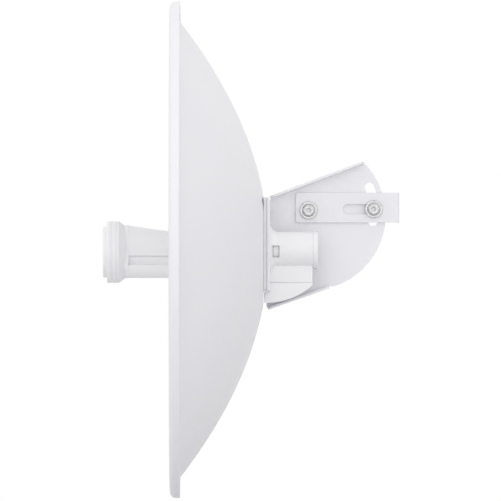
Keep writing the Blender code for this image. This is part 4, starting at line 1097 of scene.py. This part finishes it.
def floor_material(middle, edge):
    """Matt pale grey that fades away towards the edge; its underside is clear."""
    look = Nodes("floor", (0.70, 0.70, 0.70), 0.85, Specular_IOR_Level=0.2)
    look.colour(look.noise(6, 3), (0.68, 0.68, 0.685), (0.72, 0.72, 0.72))
    offset = look.new("ShaderNodeVectorMath", look.place, middle, operation="SUBTRACT")["Vector"]
    distance = look.new("ShaderNodeVectorMath", offset, operation="LENGTH")["Value"]
    faded = look.ranged(distance, 0.0, 1.0, edge * FADE_START, edge * FADE_END)
    below = look.new("ShaderNodeNewGeometry")["Backfacing"]
    clear = look.new("ShaderNodeMath", faded, below, operation="MAXIMUM")["Value"]
    through = look.new("ShaderNodeBsdfTransparent")["BSDF"]
    mixed = look.new("ShaderNodeMixShader", clear, look.shader.outputs["BSDF"], through)["Shader"]
    fill(look.tree, look.tree.nodes["Material Output"], Surface=mixed)
    return look.material


SOFT_LIGHTS = [  # direction that each broad light comes from, how narrow it is, and its strength
    ((0, 0, 1), 1, 0.60), ((1, 0, 0), 2, 0.44), ((-1, 0, 0), 2, 0.97), ((0, -1, 0), 2, 0.62),
    ((0, 1, 0), 2, 0.16), ((1, 0, 0), 30, 1.1), ((1, -1, 0), 3, 0.70), ((1, 1, 0), 3, 0.85),
    ((0, -1, 1), 3, 0.30), ((0, 1, 1), 3, 0.53),
]


def surroundings():
    """A white studio lit by broad soft lights from the sides and above."""
    scene = bpy.context.scene
    scene.world = scene.world or bpy.data.worlds.new("studio")
    scene.world.use_nodes = True
    tree = scene.world.node_tree
    tree.nodes.clear()

    def new(kind, *ordered, **named):
        return fill(tree, tree.nodes.new(kind), *ordered, **named).outputs

    def maths(operation, first, second):
        return new("ShaderNodeMath", first, second, operation=operation)["Value"]

    way = new("ShaderNodeTexCoord")["Generated"]
    total = 0.0
    for direction, narrow, strength in SOFT_LIGHTS:
        towards = Vector(direction).normalized()
        ahead = new("ShaderNodeVectorMath", way, towards, operation="DOT_PRODUCT")["Value"]
        lobe = maths("POWER", maths("MAXIMUM", ahead, 0.0), narrow)
        total = maths("ADD", maths("MULTIPLY", lobe, strength), total)
    white = (1, 1, 1, 1)
    light = new("ShaderNodeBackground", Color=white, Strength=total)["Background"]
    paper = new("ShaderNodeBackground", Color=white)["Background"]
    seen = new("ShaderNodeLightPath")["Is Camera Ray"]
    new("ShaderNodeOutputWorld", Surface=new("ShaderNodeMixShader", seen, light, paper)["Shader"])
    scene.view_settings.view_transform = "Standard"


def camera():
    """The side view at the photograph's angle, through a very long lens."""
    distance, height = 17.5, 0.5246
    data = bpy.data.cameras.new("camera")
    data.sensor_width = 36
    data.lens = data.sensor_width * distance / height
    data.clip_start, data.clip_end = 1.0, 60.0
    obj = linked("camera", data)
    obj.location = (AXIS_X + distance, -0.0985, -0.0450)
    obj.rotation_euler = (QUARTER, 0, QUARTER)
    bpy.context.scene.camera = obj


# -------- assembly
camera()
surroundings()
stage()

for name, node in frame["nodes"].items():  # every CAD node that stays gets its finish
    node.data.materials.clear()
    node.data.materials.append(LOOKS[SLOT_OF[name]])

for make in (
    dish, dish_gasket, dish_bracket, pole_bracket, clamp_jaw, fasteners, rear_housing, housing_end_cap,
    cable_cover, release_tabs, feed_cap, feed_shell_upper, feed_shell_lower, feed_tail, shoulder_seal,
):
    make()
